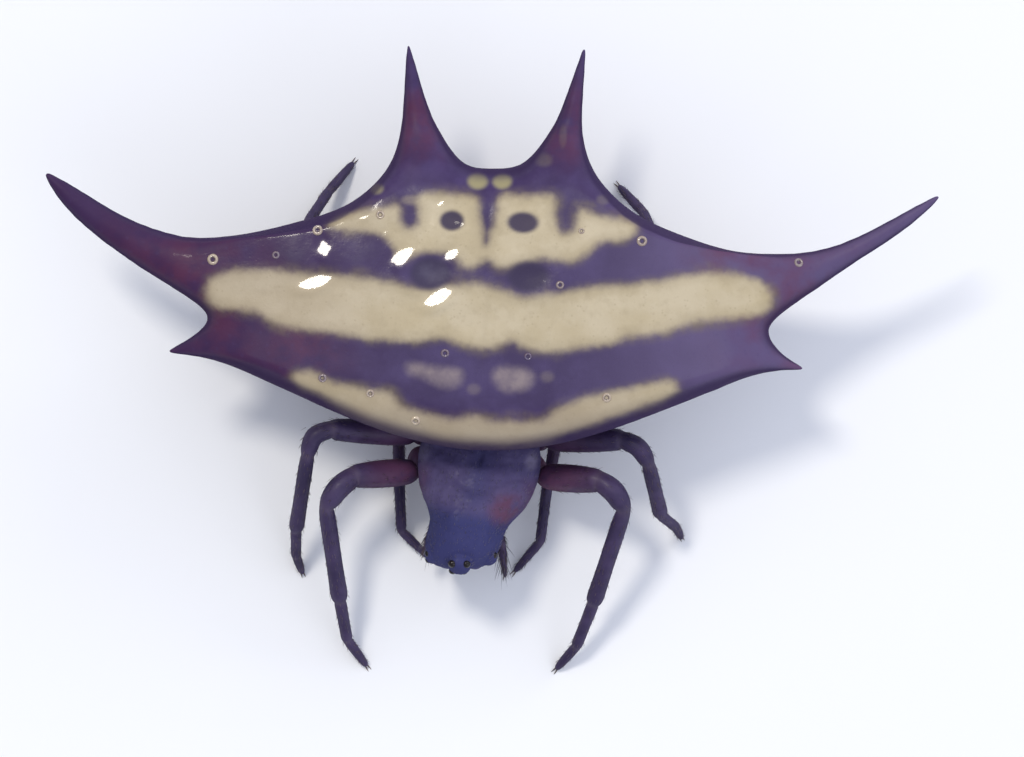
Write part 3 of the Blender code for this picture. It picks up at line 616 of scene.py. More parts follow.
def shield_finish():
    f = Finish("shield_cuticle", roughness=0.3, coat=0.5, coat_roughness=0.08, specular=0.16)
    wander = f.math("MULTIPLY", f.math("SUBTRACT", f.noise(1.8, 3), 0.5), 0.18)
    ripple = f.math("MULTIPLY", f.math("SUBTRACT", f.noise(7.0, 4), 0.5), 0.07)
    depth = f.math("ADD", f.math("ADD", f.mark("ivory"), wander), ripple)
    ivory = f.rise(depth, -0.12, 0.12)
    loose = f.math("ADD", depth, f.math("MULTIPLY", f.math("SUBTRACT", f.noise(0.8, 2), 0.5), 0.35))
    fringe = f.math("MULTIPLY", f.rise(loose, -0.24, 0.04), f.rise(f.noise(3.0, 3), 0.3, 0.7, 0.25, 0.75))

    dark = f.blend(f.rise(f.noise(1.1, 4), 0.35, 0.7), DARK, DARK_LIGHTER)
    # Painted shade: the dark bands turn darker and redder towards the animal's right side.
    dark = f.blend(f.math("MULTIPLY", f.mark("right"), 0.75), dark, DARK_RIGHT_SHADE)
    # Painted sheen: the dark bands turn lighter and bluer towards the animal's left, like a bright sky
    # reflected there.
    dark = f.blend(f.math("MULTIPLY", f.mark("left"), 0.8), dark, DARK_LEFT_SKY_SHEEN)
    red = f.math("MULTIPLY", f.mark("glow"), f.rise(f.noise(1.3, 4), 0.3, 0.66))
    dark = f.blend(f.math("MULTIPLY", red, 0.55), dark, RED_GLOW)
    dark = f.blend(f.rise(f.cells(5.0), 0.0, 0.3, 0.2, 0.0), dark, DARK_LIGHTER)
    pale = f.blend(f.rise(f.noise(0.9, 4), 0.35, 0.65), IVORY, IVORY_PALE)
    specks = f.math("MULTIPLY", f.rise(f.cells(9.0), 0.05, 0.3, 1.0, 0.0), f.rise(f.noise(2.4, 2), 0.4, 0.62))
    pale = f.blend(f.math("MULTIPLY", specks, 0.4), pale, IVORY_DULL)
    mottle = f.rise(f.noise(5.0, 3), 0.5, 0.75)
    pale = f.blend(f.math("MULTIPLY", mottle, 0.22), pale, IVORY_DULL)
    pale = f.blend(f.math("MULTIPLY", f.mark("suture"), 0.15), pale, IVORY_DULL)
    pale = f.blend(f.rise(depth, 0.3, 0.02, 0.0, 0.45), pale, IVORY_DULL)
    pale = f.blend(f.mark("shaded"), pale, IVORY_SHADED)
    colour = f.blend(fringe, dark, FRINGE)
    colour = f.blend(ivory, colour, pale)
    dull = f.rise(f.math("ADD", f.mark("bar"), f.math("MULTIPLY", ripple, 0.9)), -0.13, 0.17)
    dull = f.math("MULTIPLY", dull, f.rise(f.noise(3.5, 2), 0.3, 0.7, 0.6, 0.88))
    colour = f.blend(dull, colour, BAR_TINT)
    spots = f.math("ADD", f.mark("faint_ivory"), f.math("MULTIPLY", ripple, 0.7))
    colour = f.blend(f.math("MULTIPLY", f.rise(spots, 0.02, 0.9), 0.62, clamp=True), colour, IVORY)
    olive = f.math("ADD", f.mark("olive"), f.math("MULTIPLY", ripple, 1.5))
    colour = f.blend(f.math("MULTIPLY", f.rise(olive, 0.05, 1.05), 0.9), colour, OLIVE)
    pit = f.math("ADD", f.mark("pit"), f.math("MULTIPLY", ripple, 0.9))
    colour = f.blend(f.rise(pit, 0.05, 0.85, 0.0, 0.95), colour, NAVY)
    # Painted sheen: greyer patches over the dark bands.
    painted_sheen = f.math("MULTIPLY", f.mark("painted_sheen"), f.rise(f.noise(3.0, 2), 0.3, 0.7, 0.3, 0.85))
    colour = f.blend(painted_sheen, colour, SHEEN_GREY)
    # Painted shade where the shield's edge turns down, away from the light.
    colour = f.blend(f.math("MULTIPLY", f.mark("rim"), 0.8), colour, RIM_PAINTED_SHADE)
    f.colour(colour)

    uneven = f.math("MULTIPLY", f.math("SUBTRACT", f.noise(3.0, 4), 0.5), 0.16)
    plain = f.math("ADD", f.rise(depth, -0.05, 0.08, 0.28, 0.36), uneven, clamp=True)
    plain = f.math("ADD", plain, f.rise(f.mark("gloss"), 0.0, 1.0, 0.22, 0.0))
    f.roughness(f.math("ADD", plain, f.slant(0.3, 0.75, 0.0, 0.6), clamp=True))
    film = f.math("MULTIPLY", f.slant(0.4, 0.85, 0.55, 0.02), f.mark("gloss"))
    f.put(film, f.surface.inputs["Coat Weight"])
    swell = f.bump(f.noise(2.6, 2, 0.45), 0.007)
    grain = f.bump(f.noise(13.0, 3, 0.5), 0.0045, swell)
    pores = f.rise(f.cells(4.4), 0.03, 0.14)
    f.relief(f.bump(pores, 0.0022, grain), swell)
    return f.material


def carapace_finish():
    f = Finish("carapace_cuticle", roughness=0.5, coat=0.03, coat_roughness=0.2, specular=0.16)
    colour = f.blend(f.rise(f.noise(1.6, 4), 0.35, 0.68), PLUM, PLUM_LIGHTER)
    # The head's dark colour, with a painted navy reflection of the sky.
    colour = f.blend(f.math("MULTIPLY", f.mark("head"), 0.85), colour, HEAD_NAVY_SKY_REFLECTION)
    # Red of the carapace's sides, with a painted glow of light shining through the animal's left cheek.
    red = f.math("MULTIPLY", f.mark("warm"), f.rise(f.noise(2.5, 3), 0.25, 0.6))
    colour = f.blend(f.math("MULTIPLY", red, 0.85), colour, CHEEK_BACKLIT_RED)
    colour = f.blend(f.math("MULTIPLY", f.mark("median"), 0.6), colour, MEDIAN_BLUE)
    colour = f.blend(f.rise(f.cells(8.0), 0.0, 0.3, 0.2, 0.0), colour, PLUM_SPECK)
    # Painted highlight: pale lilac patches on the carapace's sides beside the first legs' roots.
    colour = f.blend(f.math("MULTIPLY", f.mark("painted_highlight"), 0.6), colour, HIGHLIGHT_LILAC)
    f.colour(colour)
    plain = f.math("ADD", 0.6, f.math("MULTIPLY", f.noise(4.0, 3), 0.15))
    f.roughness(f.math("ADD", plain, f.slant(0.4, 0.85, 0.0, 0.35), clamp=True))
    grain = f.bump(f.noise(9.0, 3, 0.5), 0.005)
    f.relief(f.bump(f.rise(f.cells(6.5, smoothness=0.4), 0.05, 0.45, 1.0, 0.0), 0.004, grain))
    return f.material


def leg_finish():
    f = Finish("leg_cuticle", roughness=0.5, coat=0.03, coat_roughness=0.2, specular=0.28)
    colour = f.blend(f.rise(f.noise(1.4, 4), 0.35, 0.68), LEG_DARK, LEG_LIGHTER)
    red = f.math("MULTIPLY", f.mark("warm"), f.rise(f.noise(2.0, 3), 0.2, 0.55))
    colour = f.blend(red, colour, FEMUR_RED)
    colour = f.blend(f.math("MULTIPLY", f.mark("joint"), 0.2), colour, JOINT_PALE)
    f.colour(colour)
    plain = f.math("ADD", 0.44, f.math("MULTIPLY", f.noise(5.0, 3), 0.2))
    f.roughness(f.math("ADD", plain, f.slant(0.4, 0.85, 0.0, 0.35), clamp=True))
    grain = f.bump(f.noise(8.0, 3, 0.5), 0.006)
    f.relief(f.bump(f.rise(f.cells(8.0), 0.05, 0.3, 1.0, 0.0), 0.004, grain))
    return f.material


def plate_finish(name, dark, light, spot):
    """A hard plate of the underside: two tones of brown and a paler patch."""
    f = Finish(name, roughness=0.38, coat=0.2, coat_roughness=0.2)
    colour = f.blend(f.rise(f.noise(1.8, 4), 0.35, 0.68), dark, light)
    colour = f.blend(f.math("MULTIPLY", f.mark("patch"), f.rise(f.noise(3.0, 3), 0.25, 0.5)), colour, spot)
    f.colour(colour)
    f.roughness(f.math("ADD", 0.3, f.math("MULTIPLY", f.noise(5.0, 3), 0.2)))
    f.relief(f.bump(f.noise(8.0, 4, 0.6), 0.014))
    return f.material


def horn_finish():
    """Fangs and claws: dark and smooth, mottled between near black and dark red-brown."""
    f = Finish("fang_horn", roughness=0.2, coat=0.5, coat_roughness=0.08)
    f.colour(f.blend(f.rise(f.noise(3.0, 3), 0.3, 0.7), (0.028, 0.012, 0.012), (0.095, 0.030, 0.018)))
    f.relief(f.bump(f.noise(14.0, 2), 0.004))
    return f.material


def ring_finish():
    """The small rings of the shield: glossy, from purple to ivory, dark in the dimple. The pale of a rim is
    partly a painted glint.
    """
    f = Finish("ring_horn", roughness=0.25, coat=1.0, coat_roughness=0.12)
    # A pale rim is partly the ivory around it and partly a painted glint.
    rim = f.blend(f.mark("pale"), (0.100, 0.072, 0.140), (0.520, 0.420, 0.300))
    rim = f.blend(f.math("MULTIPLY", f.rise(f.noise(9.0, 3), 0.4, 0.65), 0.4), rim, (0.160, 0.095, 0.090))
    f.colour(f.blend(f.math("MULTIPLY", f.mark("pit"), 0.9), rim, NAVY))
    f.relief(f.bump(f.noise(20.0, 2), 0.002))
    return f.material


def eye_finish():
    f = Finish("eye_lens", roughness=0.1, coat=0.15, coat_roughness=0.04, specular=0.25)
    f.colour(f.blend(f.rise(f.noise(6.0, 2), 0.3, 0.7), (0.004, 0.004, 0.006), (0.014, 0.008, 0.008)))
    return f.material


def hair_finish(name, root, tip, roughness):
    f = Finish(name, roughness=roughness)
    f.colour(f.blend(f.rise(f.noise(4.0, 2), 0.3, 0.7), root, tip))
    return f.material


def floor_finish():
    f = Finish("pale_floor", roughness=0.7)
    f.colour(f.blend(f.noise(0.05, 3), (0.83, 0.84, 0.87), (0.87, 0.88, 0.90)))
    return f.material


SHIELD = shield_finish()
RING_HORN = ring_finish()
CARAPACE_SHELL = carapace_finish()
LEG_SHELL = leg_finish()
STERNUM_SHELL = plate_finish("sternum_plate", (0.035, 0.020, 0.030), (0.070, 0.040, 0.050), (0.5, 0.4, 0.2))
TAIL_SHELL = plate_finish("spinneret_plate", (0.040, 0.024, 0.030), (0.085, 0.050, 0.050), (0.22, 0.15, 0.10))
FOLD_SKIN = plate_finish("waist_fold", (0.060, 0.040, 0.050), (0.120, 0.085, 0.090), (0.2, 0.15, 0.13))
HORN = horn_finish()
LENS = eye_finish()
DOWN = hair_finish("pale_down", (0.085, 0.075, 0.110), (0.165, 0.150, 0.185), 0.4)
BRISTLE = hair_finish("dark_bristle", (0.060, 0.040, 0.050), (0.14, 0.10, 0.11), 0.4)


# The abdomen.

def plan_point(side, column, row):
    """Where a side's cage column and row meet, seen from above."""
    front = Vector(FRONT_EDGE[column])
    rear = Vector(REAR_EDGE[side][column])
    edge = SIDE_EDGE[side]
    if column == COLUMNS:
        return Vector(edge[row])
    low, high = edge[0][1], edge[-1][1]
    even = row / ROWS
    like_side = (edge[row][1] - low) / (high - low)
    return front.lerp(rear, mix(even, like_side, 0.6 * column / COLUMNS))


def dome_z(x, y):
    along = (y - BELLY_CENTRE_Y) / DOME_HALF_LENGTH
    across = x / DOME_HALF_WIDTH
    return RIM_Z + RIM_HALF + DOME_RISE * max(0.0, 1 - across * across) * max(0.0, 1 - along * along)


def belly_z(x, y):
    reach = math.hypot(x * BELLY_X_STRETCH, y - BELLY_CENTRE_Y) / BELLY_RADIUS
    return RIM_Z - RIM_HALF - BELLY_DROP * max(0.0, 1 - reach) ** BELLY_POWER


def cage_point(column, row, layer):
    """A cage vertex: layer 0 is the belly, 1 the rim and 2 the back."""
    side = -1 if column < 0 else 1
    plan = plan_point(side, abs(column), row)
    if layer == 1:
        return Vector((side * plan.x, plan.y, RIM_Z))
    middle = Vector((0.0, BELLY_CENTRE_Y))
    if abs(column) == COLUMNS or row in (0, ROWS):
        inward = middle - plan
        inward.x = 0.0 if abs(column) < COLUMNS else inward.x
        plan = plan + inward.normalized() * RIM_INSET
    height = dome_z(plan.x, plan.y) if layer == 2 else belly_z(plan.x, plan.y)
    return Vector((side * plan.x, plan.y, height))


def cage_code(column, row, layer):
    return 1 + (column + COLUMNS) + 100 * row + 1000 * layer


def draw_cage():
    """The box of faces that the abdomen's smooth form is drawn from, left in edit mode."""
    deselect()
    bpy.ops.mesh.primitive_grid_add(x_subdivisions=2 * COLUMNS, y_subdivisions=ROWS, size=2)
    obj = call_it("abdomen_skin")
    bpy.ops.object.mode_set(mode="EDIT")
    bpy.ops.mesh.select_all(action="SELECT")
    for layer in (1, 2):
        bpy.ops.mesh.extrude_region_move(TRANSFORM_OT_translate={"value": (0, 0, 1)})
    bm = bmesh.from_edit_mesh(obj.data)
    code = bm.verts.layers.int.new("code")
    for vertex in bm.verts:
        column = round(vertex.co.x * COLUMNS)
        row = round((vertex.co.y + 1) / 2 * ROWS)
        layer = round(vertex.co.z)
        vertex[code] = cage_code(column, row, layer)
        vertex.co = cage_point(column, row, layer)
    bmesh.update_edit_mesh(obj.data)
    return obj


def along_curve(route, share):
    """The place and the heading at a share of the way along a quadratic curve."""
    a, b, c = (Vector(point) for point in route)
    place = a * (1 - share) ** 2 + b * 2 * share * (1 - share) + c * share ** 2
    heading = (b - a) * (1 - share) + (c - b) * share
    return place, heading.normalized()


def grow_spine(obj, patch, route, stations):
    """Extrudes the four faces between nine cage vertices along the route, ring by ring."""
    place_of = {number: index for index, number in enumerate(patch)}
    bpy.ops.mesh.select_all(action="DESELECT")
    bm = bmesh.from_edit_mesh(obj.data)
    code = bm.verts.layers.int["code"]
    corners = {}
    for vertex in bm.verts:
        if vertex[code] in place_of:
            vertex.select = True
            corners[place_of[vertex[code]]] = vertex.co.copy()
    bm.select_flush(True)
    bmesh.update_edit_mesh(obj.data)
    across = corners[7] - corners[1]
    for share, half_width, half_height in stations:
        bpy.ops.mesh.extrude_region_move()
        bm = bmesh.from_edit_mesh(obj.data)
        code = bm.verts.layers.int["code"]
        centre, heading = along_curve(route, share)
        side = (across - across.dot(heading) * heading).normalized()
        over = heading.cross(side)
        if over.z < 0:
            over = -over
        for vertex in bm.verts:
            if vertex.select:
                u, v = divmod(place_of[vertex[code]], 3)
                pull = Vector((u - 1, v - 1))
                if pull.length > 0:
                    pull.normalize()
                vertex.co = centre + side * half_width * pull.x + over * half_height * pull.y
        bmesh.update_edit_mesh(obj.data)


def rounded_outline(corners, steps=5):
    """The closed outline, with its corners turned into curves that pass through them."""
    p = np.array(corners, dtype=float)
    before, after, later = np.roll(p, 1, axis=0), np.roll(p, -1, axis=0), np.roll(p, -2, axis=0)
    parts = []
    for i in range(steps):
        t = i / steps
        parts.append(0.5 * (2 * p + (after - before) * t + (2 * before - 5 * p + 4 * after - later) * t * t
                            + (3 * p - before - 3 * after + later) * t ** 3))
    return np.stack(parts, axis=1).reshape(-1, 2)


def depth_inside(points, outline):
    """How far each point lies inside the closed outline. Outside it is negative."""
    ends = np.roll(outline, -1, axis=0)
    span = ends - outline
    depths = []
    for part in np.array_split(points, max(1, len(points) // 3000)):
        rel = part[:, None] - outline[None]
        share = np.clip((rel * span).sum(-1) / np.maximum((span * span).sum(-1), 1e-9), 0, 1)
        gap = np.linalg.norm(rel - share[..., None] * span, axis=-1).min(axis=1)
        py = part[:, 1:2]
        straddles = (outline[:, 1] > py) != (ends[:, 1] > py)
        rise = np.where(np.abs(span[:, 1]) < 1e-9, 1e-9, span[:, 1])
        crossing = outline[:, 0] + (py - outline[:, 1]) * span[:, 0] / rise
        inside = (straddles & (part[:, 0:1] < crossing)).sum(axis=1) % 2 == 1
        depths.append(np.where(inside, gap, -gap))
    return np.concatenate(depths)


def oval_reach(points, x, y, half_width, half_length):
    """1 on the oval's edge and 0 in its middle."""
    return np.hypot((points[:, 0] - x) / half_width, (points[:, 1] - y) / half_length)


def oval_marks(points, spots):
    """How strongly the spots show: full in the middle of each and fading at its edge."""
    shown = np.zeros(len(points))
    for x, y, half_width, half_length, strength in spots:
        reach = oval_reach(points, x, y, half_width, half_length)
        shown = np.maximum(shown, strength * (1 - smooth(reach, 0.45, 1.45)))
    return shown


def waves(points, count, reach, seed):
    """Soft uneven swellings between -1 and 1, as a sum of waves in many directions."""
    draw = np.random.default_rng(seed)
    total = np.zeros(len(points))
    for i in range(count):
        way = draw.normal(size=3)
        way /= np.linalg.norm(way)
        per_length = 2 * math.pi / (reach * draw.uniform(0.7, 1.4))
        total += np.sin(points @ way * per_length + draw.uniform(0, 6.3))
    return total / math.sqrt(count)


def make_abdomen():
    obj = draw_cage()
    for side, spines in SPINES.items():
        wall = [cage_code(side * COLUMNS, row, layer) for row in (3, 4, 5) for layer in (0, 1, 2)]
        grow_spine(obj, wall, *spines["lateral"])
        wall = [cage_code(side * COLUMNS, row, layer) for row in (0, 1, 2) for layer in (0, 1, 2)]
        grow_spine(obj, wall, *spines["front"])
        wall = [cage_code(side * column, ROWS, layer) for column in (1, 2, 3) for layer in (0, 1, 2)]
        grow_spine(obj, wall, *spines["rear"])
    bpy.ops.mesh.select_all(action="SELECT")
    bpy.ops.mesh.normals_make_consistent(inside=False)
    bpy.ops.object.mode_set(mode="OBJECT")
    subdivide_smoothly(obj, 4)
    shape_abdomen(obj)
    return obj


def tilt_facets(points):
    """Turns small places of the back to the side that the light comes from.

    Gives back, for every point, how far it belongs to such a place.
    """
    upper = points[:, 2] > RIM_Z
    whole = np.zeros(len(points))
    for x, y, half_long, half_wide, heading in FACETS:
        turn = math.radians(heading)
        dx, dy = points[:, 0] - x, points[:, 1] - y
        along = dx * math.cos(turn) + dy * math.sin(turn)
        across = dy * math.cos(turn) - dx * math.sin(turn)
        reach = np.hypot(along / half_long, across / half_wide)
        height = points[upper & (reach < 1.2), 2].mean()
        centre = Vector((x, y, height))
        facing = (KEY_PLACE - centre).normalized() + (CAMERA_PLACE - centre).normalized()
        plane = height - (facing.x * dx + facing.y * dy) / facing.z
        share = np.where(upper, 1 - smooth(reach, 0.9, 2.1), 0.0)
        points[:, 2] = mix(points[:, 2], plane, share)
        whole = np.maximum(whole, share)
    return whole


def shape_abdomen(obj):
    """Sinks the pits, folds and furrows into the skin and keeps where the marks lie."""
    points = points_of(obj)
    normals = normals_of(obj)
    x, y, z = points.T
    plan = points[:, :2]
    top = smooth(normals[:, 2], -0.05, 0.25) * smooth(z, RIM_Z - 0.1, RIM_Z + 0.15)
    under = smooth(-normals[:, 2], 0.1, 0.5)
    on_disc = smooth(-np.hypot(x / 6.3, (y - 1.2) / 3.6), -1.12, -0.92)

    lift = np.zeros(len(points))
    pit = np.zeros(len(points))
    for px, py, half_width, half_length, depth, rim, darkness in PITS:
        reach = oval_reach(plan, px, py, half_width, half_length)
        hollow = np.clip(1 - reach * reach, 0, 1) ** 1.5
        lift += top * (rim * np.exp(-((reach - 1.25) / 0.28) ** 2) - depth * hollow)
        pit = np.maximum(pit, top * darkness * (1 - smooth(reach, 0.5, 1.3)))
    for sx, sy, half_width, half_length, height in SWELLINGS:
        lift += top * height * np.exp(-oval_reach(plan, sx, sy, half_width, half_length) ** 2)
    # Where the painted sheen lies on the dark bands.
    painted_sheen = top * oval_marks(plan, SHEEN_SPOTS)
    middle = np.exp(-((x + 0.06 + 0.03 * np.sin(y * 3)) / 0.07) ** 2)
    suture = middle * top * smooth(y, -1.7, -1.2) * (1 - smooth(y, 3.6, 4.0))
    lift -= 0.006 * suture
    lift += top * on_disc * 0.010 * waves(points, 18, 0.9, 3)
    lift += 0.003 * waves(points, 24, 0.32, 4) * (0.35 + 0.65 * (1 - on_disc))

    radius = np.hypot(x * BELLY_X_STRETCH, y - BELLY_CENTRE_Y)
    wander = 1.2 * np.sin(3 * np.arctan2(y - BELLY_CENTRE_Y, x)) + 0.5 * waves(points, 6, 2.5, 5)
    folds = np.sin(radius * 9.5 + wander)
    belly_field = under * (1 - smooth(radius, 3.2, 3.9)) * smooth(radius, 0.55, 0.9)
    lift += 0.035 * belly_field * folds
    furrow = np.exp(-((y + 0.28 + 0.06 * x * x) / 0.07) ** 2) * under * (1 - smooth(np.abs(x), 1.5, 1.9))
    lift -= 0.05 * furrow
    for side in (1, -1):
        cover = oval_reach(plan, side * 1.15, -0.85, 0.62, 0.42)
        lift += 0.06 * under * (1 - smooth(cover, 0.7, 1.1))
    knob = oval_reach(plan, 0.0, -0.55, 0.26, 0.24)
    lift += 0.12 * under * (1 - smooth(knob, 0.3, 1.1))
    shaped = points + normals * lift[:, None]
    facet = tilt_facets(shaped)
    put_points(obj, shaped)

    ivory = np.full(len(points), -1.0)
    shown = top > 0.3
    marks = np.full(shown.sum(), -1.0)
    for band in (MIDDLE_BAND, FRONT_BAND, REAR_BAND):
        marks = np.maximum(marks, depth_inside(plan[shown], rounded_outline(band)))
    ivory[shown] = np.clip(marks, -1.0, 1.0)
    bar = np.full(len(points), -1.0)
    bar[shown] = np.maximum(depth_inside(plan[shown], rounded_outline(LEFT_BAR)),
                            depth_inside(plan[shown], rounded_outline(RIGHT_BAR)))
    below = under > 0.3
    spots = [(side * sx, *rest) for side in (1, -1) for sx, *rest in BELLY_SPOTS]
    faint = np.where(below, oval_marks(plan, spots) * 1.1, 0.0)
    faint = np.maximum(faint, top * oval_marks(plan, IVORY_SPOTS))
    paint(obj, "ivory", ivory)
    paint(obj, "bar", np.clip(bar, -1.0, 1.0))
    paint(obj, "faint_ivory", faint)
    paint(obj, "olive", top * oval_marks(plan, OLIVE_SPOTS))
    paint(obj, "pit", pit)
    paint(obj, "suture", suture)
    paint(obj, "painted_sheen", painted_sheen)
    shaded = np.maximum(0.55 * smooth(-y, 0.2, 1.3), 0.35 * smooth(-x, 1.2, 4.5))
    paint(obj, "shaded", shaded)
    gloss = top * on_disc * (1 - 0.85 * np.maximum(pit, painted_sheen)) * smooth(normals[:, 2], 0.974, 0.993)
    paint(obj, "gloss", np.maximum(gloss, facet))
    # Painted shade: strongest where the skin at the shield's edge faces sideways or down.
    paint(obj, "rim", (1 - smooth(normals[:, 2], 0.35, 0.85)) * smooth(z, RIM_Z - 0.55, RIM_Z - 0.25))
    # How far each point takes the painted sky sheen of the animal's left side.
    paint(obj, "left", smooth(x, 1.0, 5.5) * top)
    # How far each point takes the painted shade of the animal's right side.
    paint(obj, "right", smooth(-x, 0.8, 5.0) * top)
    glow = np.zeros(len(points))
    for sx, sy, reach in RED_PLACES:
        glow = np.maximum(glow, 1 - smooth(np.hypot(x - sx, y - sy), 0.2, reach))
    paint(obj, "glow", glow)


abdomen = make_abdomen()


def make_rings(skin):
    """One raised ring, copied to each place and set square on the skin."""
    points = points_of(skin)
    normals = normals_of(skin)
    upward = normals[:, 2] > 0.3
    points, normals = points[upward], normals[upward]
    layers = [ring_points(UP * height, UP, Vector((1, 0, 0)), reach, reach, RING_SIDES)
              for reach, height in RING_PROFILE]
    model = draw_out("shield_rings", layers)
    paint(model, "pit", 1 - smooth(np.hypot(*points_of(model)[:, :2].T), 0.3, 0.6))
    subdivide_smoothly(model, 1)
    shape = points_of(model)
    copies = []
    for x, y, radius, pale in RINGS:
        near = np.argsort(np.hypot(points[:, 0] - x, points[:, 1] - y))[:12]
        foot = points[near].mean(axis=0)
        up = Vector(normals[near].mean(axis=0)).normalized()
        turn = np.array(UP.rotation_difference(up).to_matrix())
        take_up(model)
        bpy.ops.object.duplicate()
        copy = bpy.context.object
        put_points(copy, foot + radius * shape @ turn.T)
        # How pale the rim is, partly a painted glint.
        paint(copy, "pale", np.full(len(shape), pale))
        copies.append(copy)
    bpy.data.objects.remove(model)
    deselect()
    for copy in copies:
        copy.select_set(True)
    bpy.context.view_layer.objects.active = copies[0]
    bpy.ops.object.join()
    return call_it("shield_rings")


rings = make_rings(abdomen)
finish_piece(abdomen, SHIELD, ("abdomen",))
finish_piece(rings, RING_HORN)


# The front of the body.

def make_carapace():
    rings = []
    for forward, half_width, low, high in CARAPACE:
        edge = mix(low, high, CARAPACE_EDGE_SHARE)
        ring = []
        for i in range(CARAPACE_SIDES):
            angle = 2 * math.pi * i / CARAPACE_SIDES
            lift = math.sin(angle)
            height = edge + ((high - edge) if lift > 0 else (edge - low)) * lift
            ring.append(turned((half_width * math.cos(angle), -forward, height)))
        rings.append(ring)
    obj = draw_out("carapace_skin", rings)
    subdivide_smoothly(obj, 4)
    shape_carapace(obj)
    return obj


def shape_carapace(obj):
    """Raises the eye mounds and sockets, sinks the grooves and keeps where the tints lie."""
    points = points_of(obj)
    normals = normals_of(obj)
    x, y = straightened(points).T[:2]
    top = smooth(normals[:, 2], 0.05, 0.4)
    for bx, by, bz, radius in EYE_BUMPS:
        centre = np.array(turned((bx, by, bz)))
        rel = points - centre
        distance = np.linalg.norm(rel, axis=1, keepdims=True)
        share = 1 - smooth(distance, 0.85 * radius, 1.25 * radius)
        points = mix(points, centre + rel / np.maximum(distance, 1e-6) * radius, share)
    lift = np.zeros(len(points))
    for ex, ey, ez, radius in EYES.values():
        for side in (1, -1):
            centre = np.array(turned((side * ex, ey, ez)))
            reach = np.linalg.norm(points - centre, axis=1) / radius
            lift += 0.012 * np.exp(-((reach - 1.25) / 0.22) ** 2)
    groove = np.exp(-((y + 1.62 - 0.55 * np.abs(x)) / 0.09) ** 2) * top * (1 - smooth(np.abs(x), 0.95, 1.25))
    lift -= 0.022 * groove
    fovea = np.exp(-(x / 0.07) ** 2 - ((y + 0.85) / 0.22) ** 2) * top
    lift -= 0.06 * fovea
    for reach in (0.25, 0.62, 0.98, 1.34):
        ray = np.exp(-((y + reach - 0.18 * np.abs(x)) / 0.06) ** 2) * smooth(np.abs(x), 0.3, 0.55) * top
        lift -= 0.014 * ray
    for hx, hy in ((0.36, -2.25), (-0.36, -2.25), (0.0, -1.2)):
        hump = np.exp(-((x - hx) / 0.17) ** 2 - ((y - hy) / 0.2) ** 2)
        lift += 0.05 * hump * top
    lift += 0.006 * waves(points, 22, 0.4, 8) * top + 0.003 * waves(points, 20, 0.18, 9)
    put_points(obj, points + normals * lift[:, None])
    head = smooth(-y, 1.85, 2.25)
    # Painted glow of light shining through the left cheek only, added to the reddish side edges.
    backlit_cheek = 1 - smooth(np.hypot((x - 0.80) / 0.56, (y + 1.86) / 0.5), 0.35, 1.1)
    edge = smooth(np.abs(x), 0.85, 1.2) * smooth(-y, 0.9, 1.5) * (1 - smooth(-y, 2.1, 2.5))
    warm = np.maximum(backlit_cheek * smooth(normals[:, 2], 0.1, 0.6), 0.5 * edge)
    # Where the head takes its painted navy sky reflection.
    paint(obj, "head", head)
    paint(obj, "warm", warm)
    # Painted highlights beside the first legs' roots, stronger on the animal's left.
    left_highlight = 1 - smooth(np.hypot((x - 1.1) / 0.17, (y + 0.75) / 0.25), 0.3, 1.1)
    right_highlight = 1 - smooth(np.hypot((x + 1.2) / 0.17, (y + 0.95) / 0.25), 0.3, 1.1)
    paint(obj, "painted_highlight", np.maximum(left_highlight, 0.5 * right_highlight))
    paint(obj, "median", np.exp(-(x / 0.28) ** 2) * top * smooth(-y, 0.2, 0.6) * (1 - smooth(-y, 1.7, 2.1)))


carapace = make_carapace()
finish_piece(carapace, CARAPACE_SHELL, ("carapace",))


def make_eye(name, centre, radius):
    """A lens, flattened a little where it sits in its socket."""
    deselect()
    bpy.ops.mesh.primitive_uv_sphere_add(segments=20, ring_count=12, radius=radius, location=centre)
    obj = call_it(name)
    bpy.ops.object.transform_apply(location=True, rotation=True, scale=True)
    inner = Vector(turned((0.0, -2.7, 2.3)))
    out = (Vector(centre) - inner).normalized()
    points = points_of(obj)
    rel = points - np.array(centre)
    along = rel @ np.array(out)
    put_points(obj, points - np.outer(np.where(along < 0, 0.45, 0.12) * along, np.array(out)))
    subdivide_smoothly(obj, 1)
    return obj


for row, (ex, ey, ez, radius) in EYES.items():
    for side, side_name in SIDES:
        eye = make_eye(f"eye_{row}_{side_name}", turned((side * ex, ey, ez)), radius)
        finish_piece(eye, LENS)


# Stations of the jaws, fangs and mouth lobes of the animal's left: place and half thickness.
CHELICERA = (
    (0.27, -2.78, 1.80, 0.17), (0.28, -2.90, 1.62, 0.235), (0.29, -3.00, 1.40, 0.27),
    (0.29, -3.04, 1.14, 0.265), (0.28, -3.02, 0.92, 0.24), (0.26, -2.96, 0.76, 0.20),
    (0.25, -2.92, 0.68, 0.12),
)
FANG = (
    (0.26, -2.99, 0.80, 0.1), (0.24, -3.0, 0.66, 0.088), (0.20, -2.98, 0.56, 0.066),
    (0.14, -2.93, 0.50, 0.04), (0.08, -2.86, 0.48, 0.008),
)
MAXILLA = (
    (0.40, -1.78, 1.16, 0.12), (0.34, -1.95, 1.10, 0.17), (0.27, -2.14, 1.05, 0.185),
    (0.20, -2.32, 1.02, 0.15), (0.15, -2.42, 1.02, 0.07),
)
LIP = (
    (0.0, -1.70, 1.13, 0.12), (0.0, -1.84, 1.08, 0.17), (0.0, -1.98, 1.05, 0.14), (0.0, -2.06, 1.05, 0.06),
)


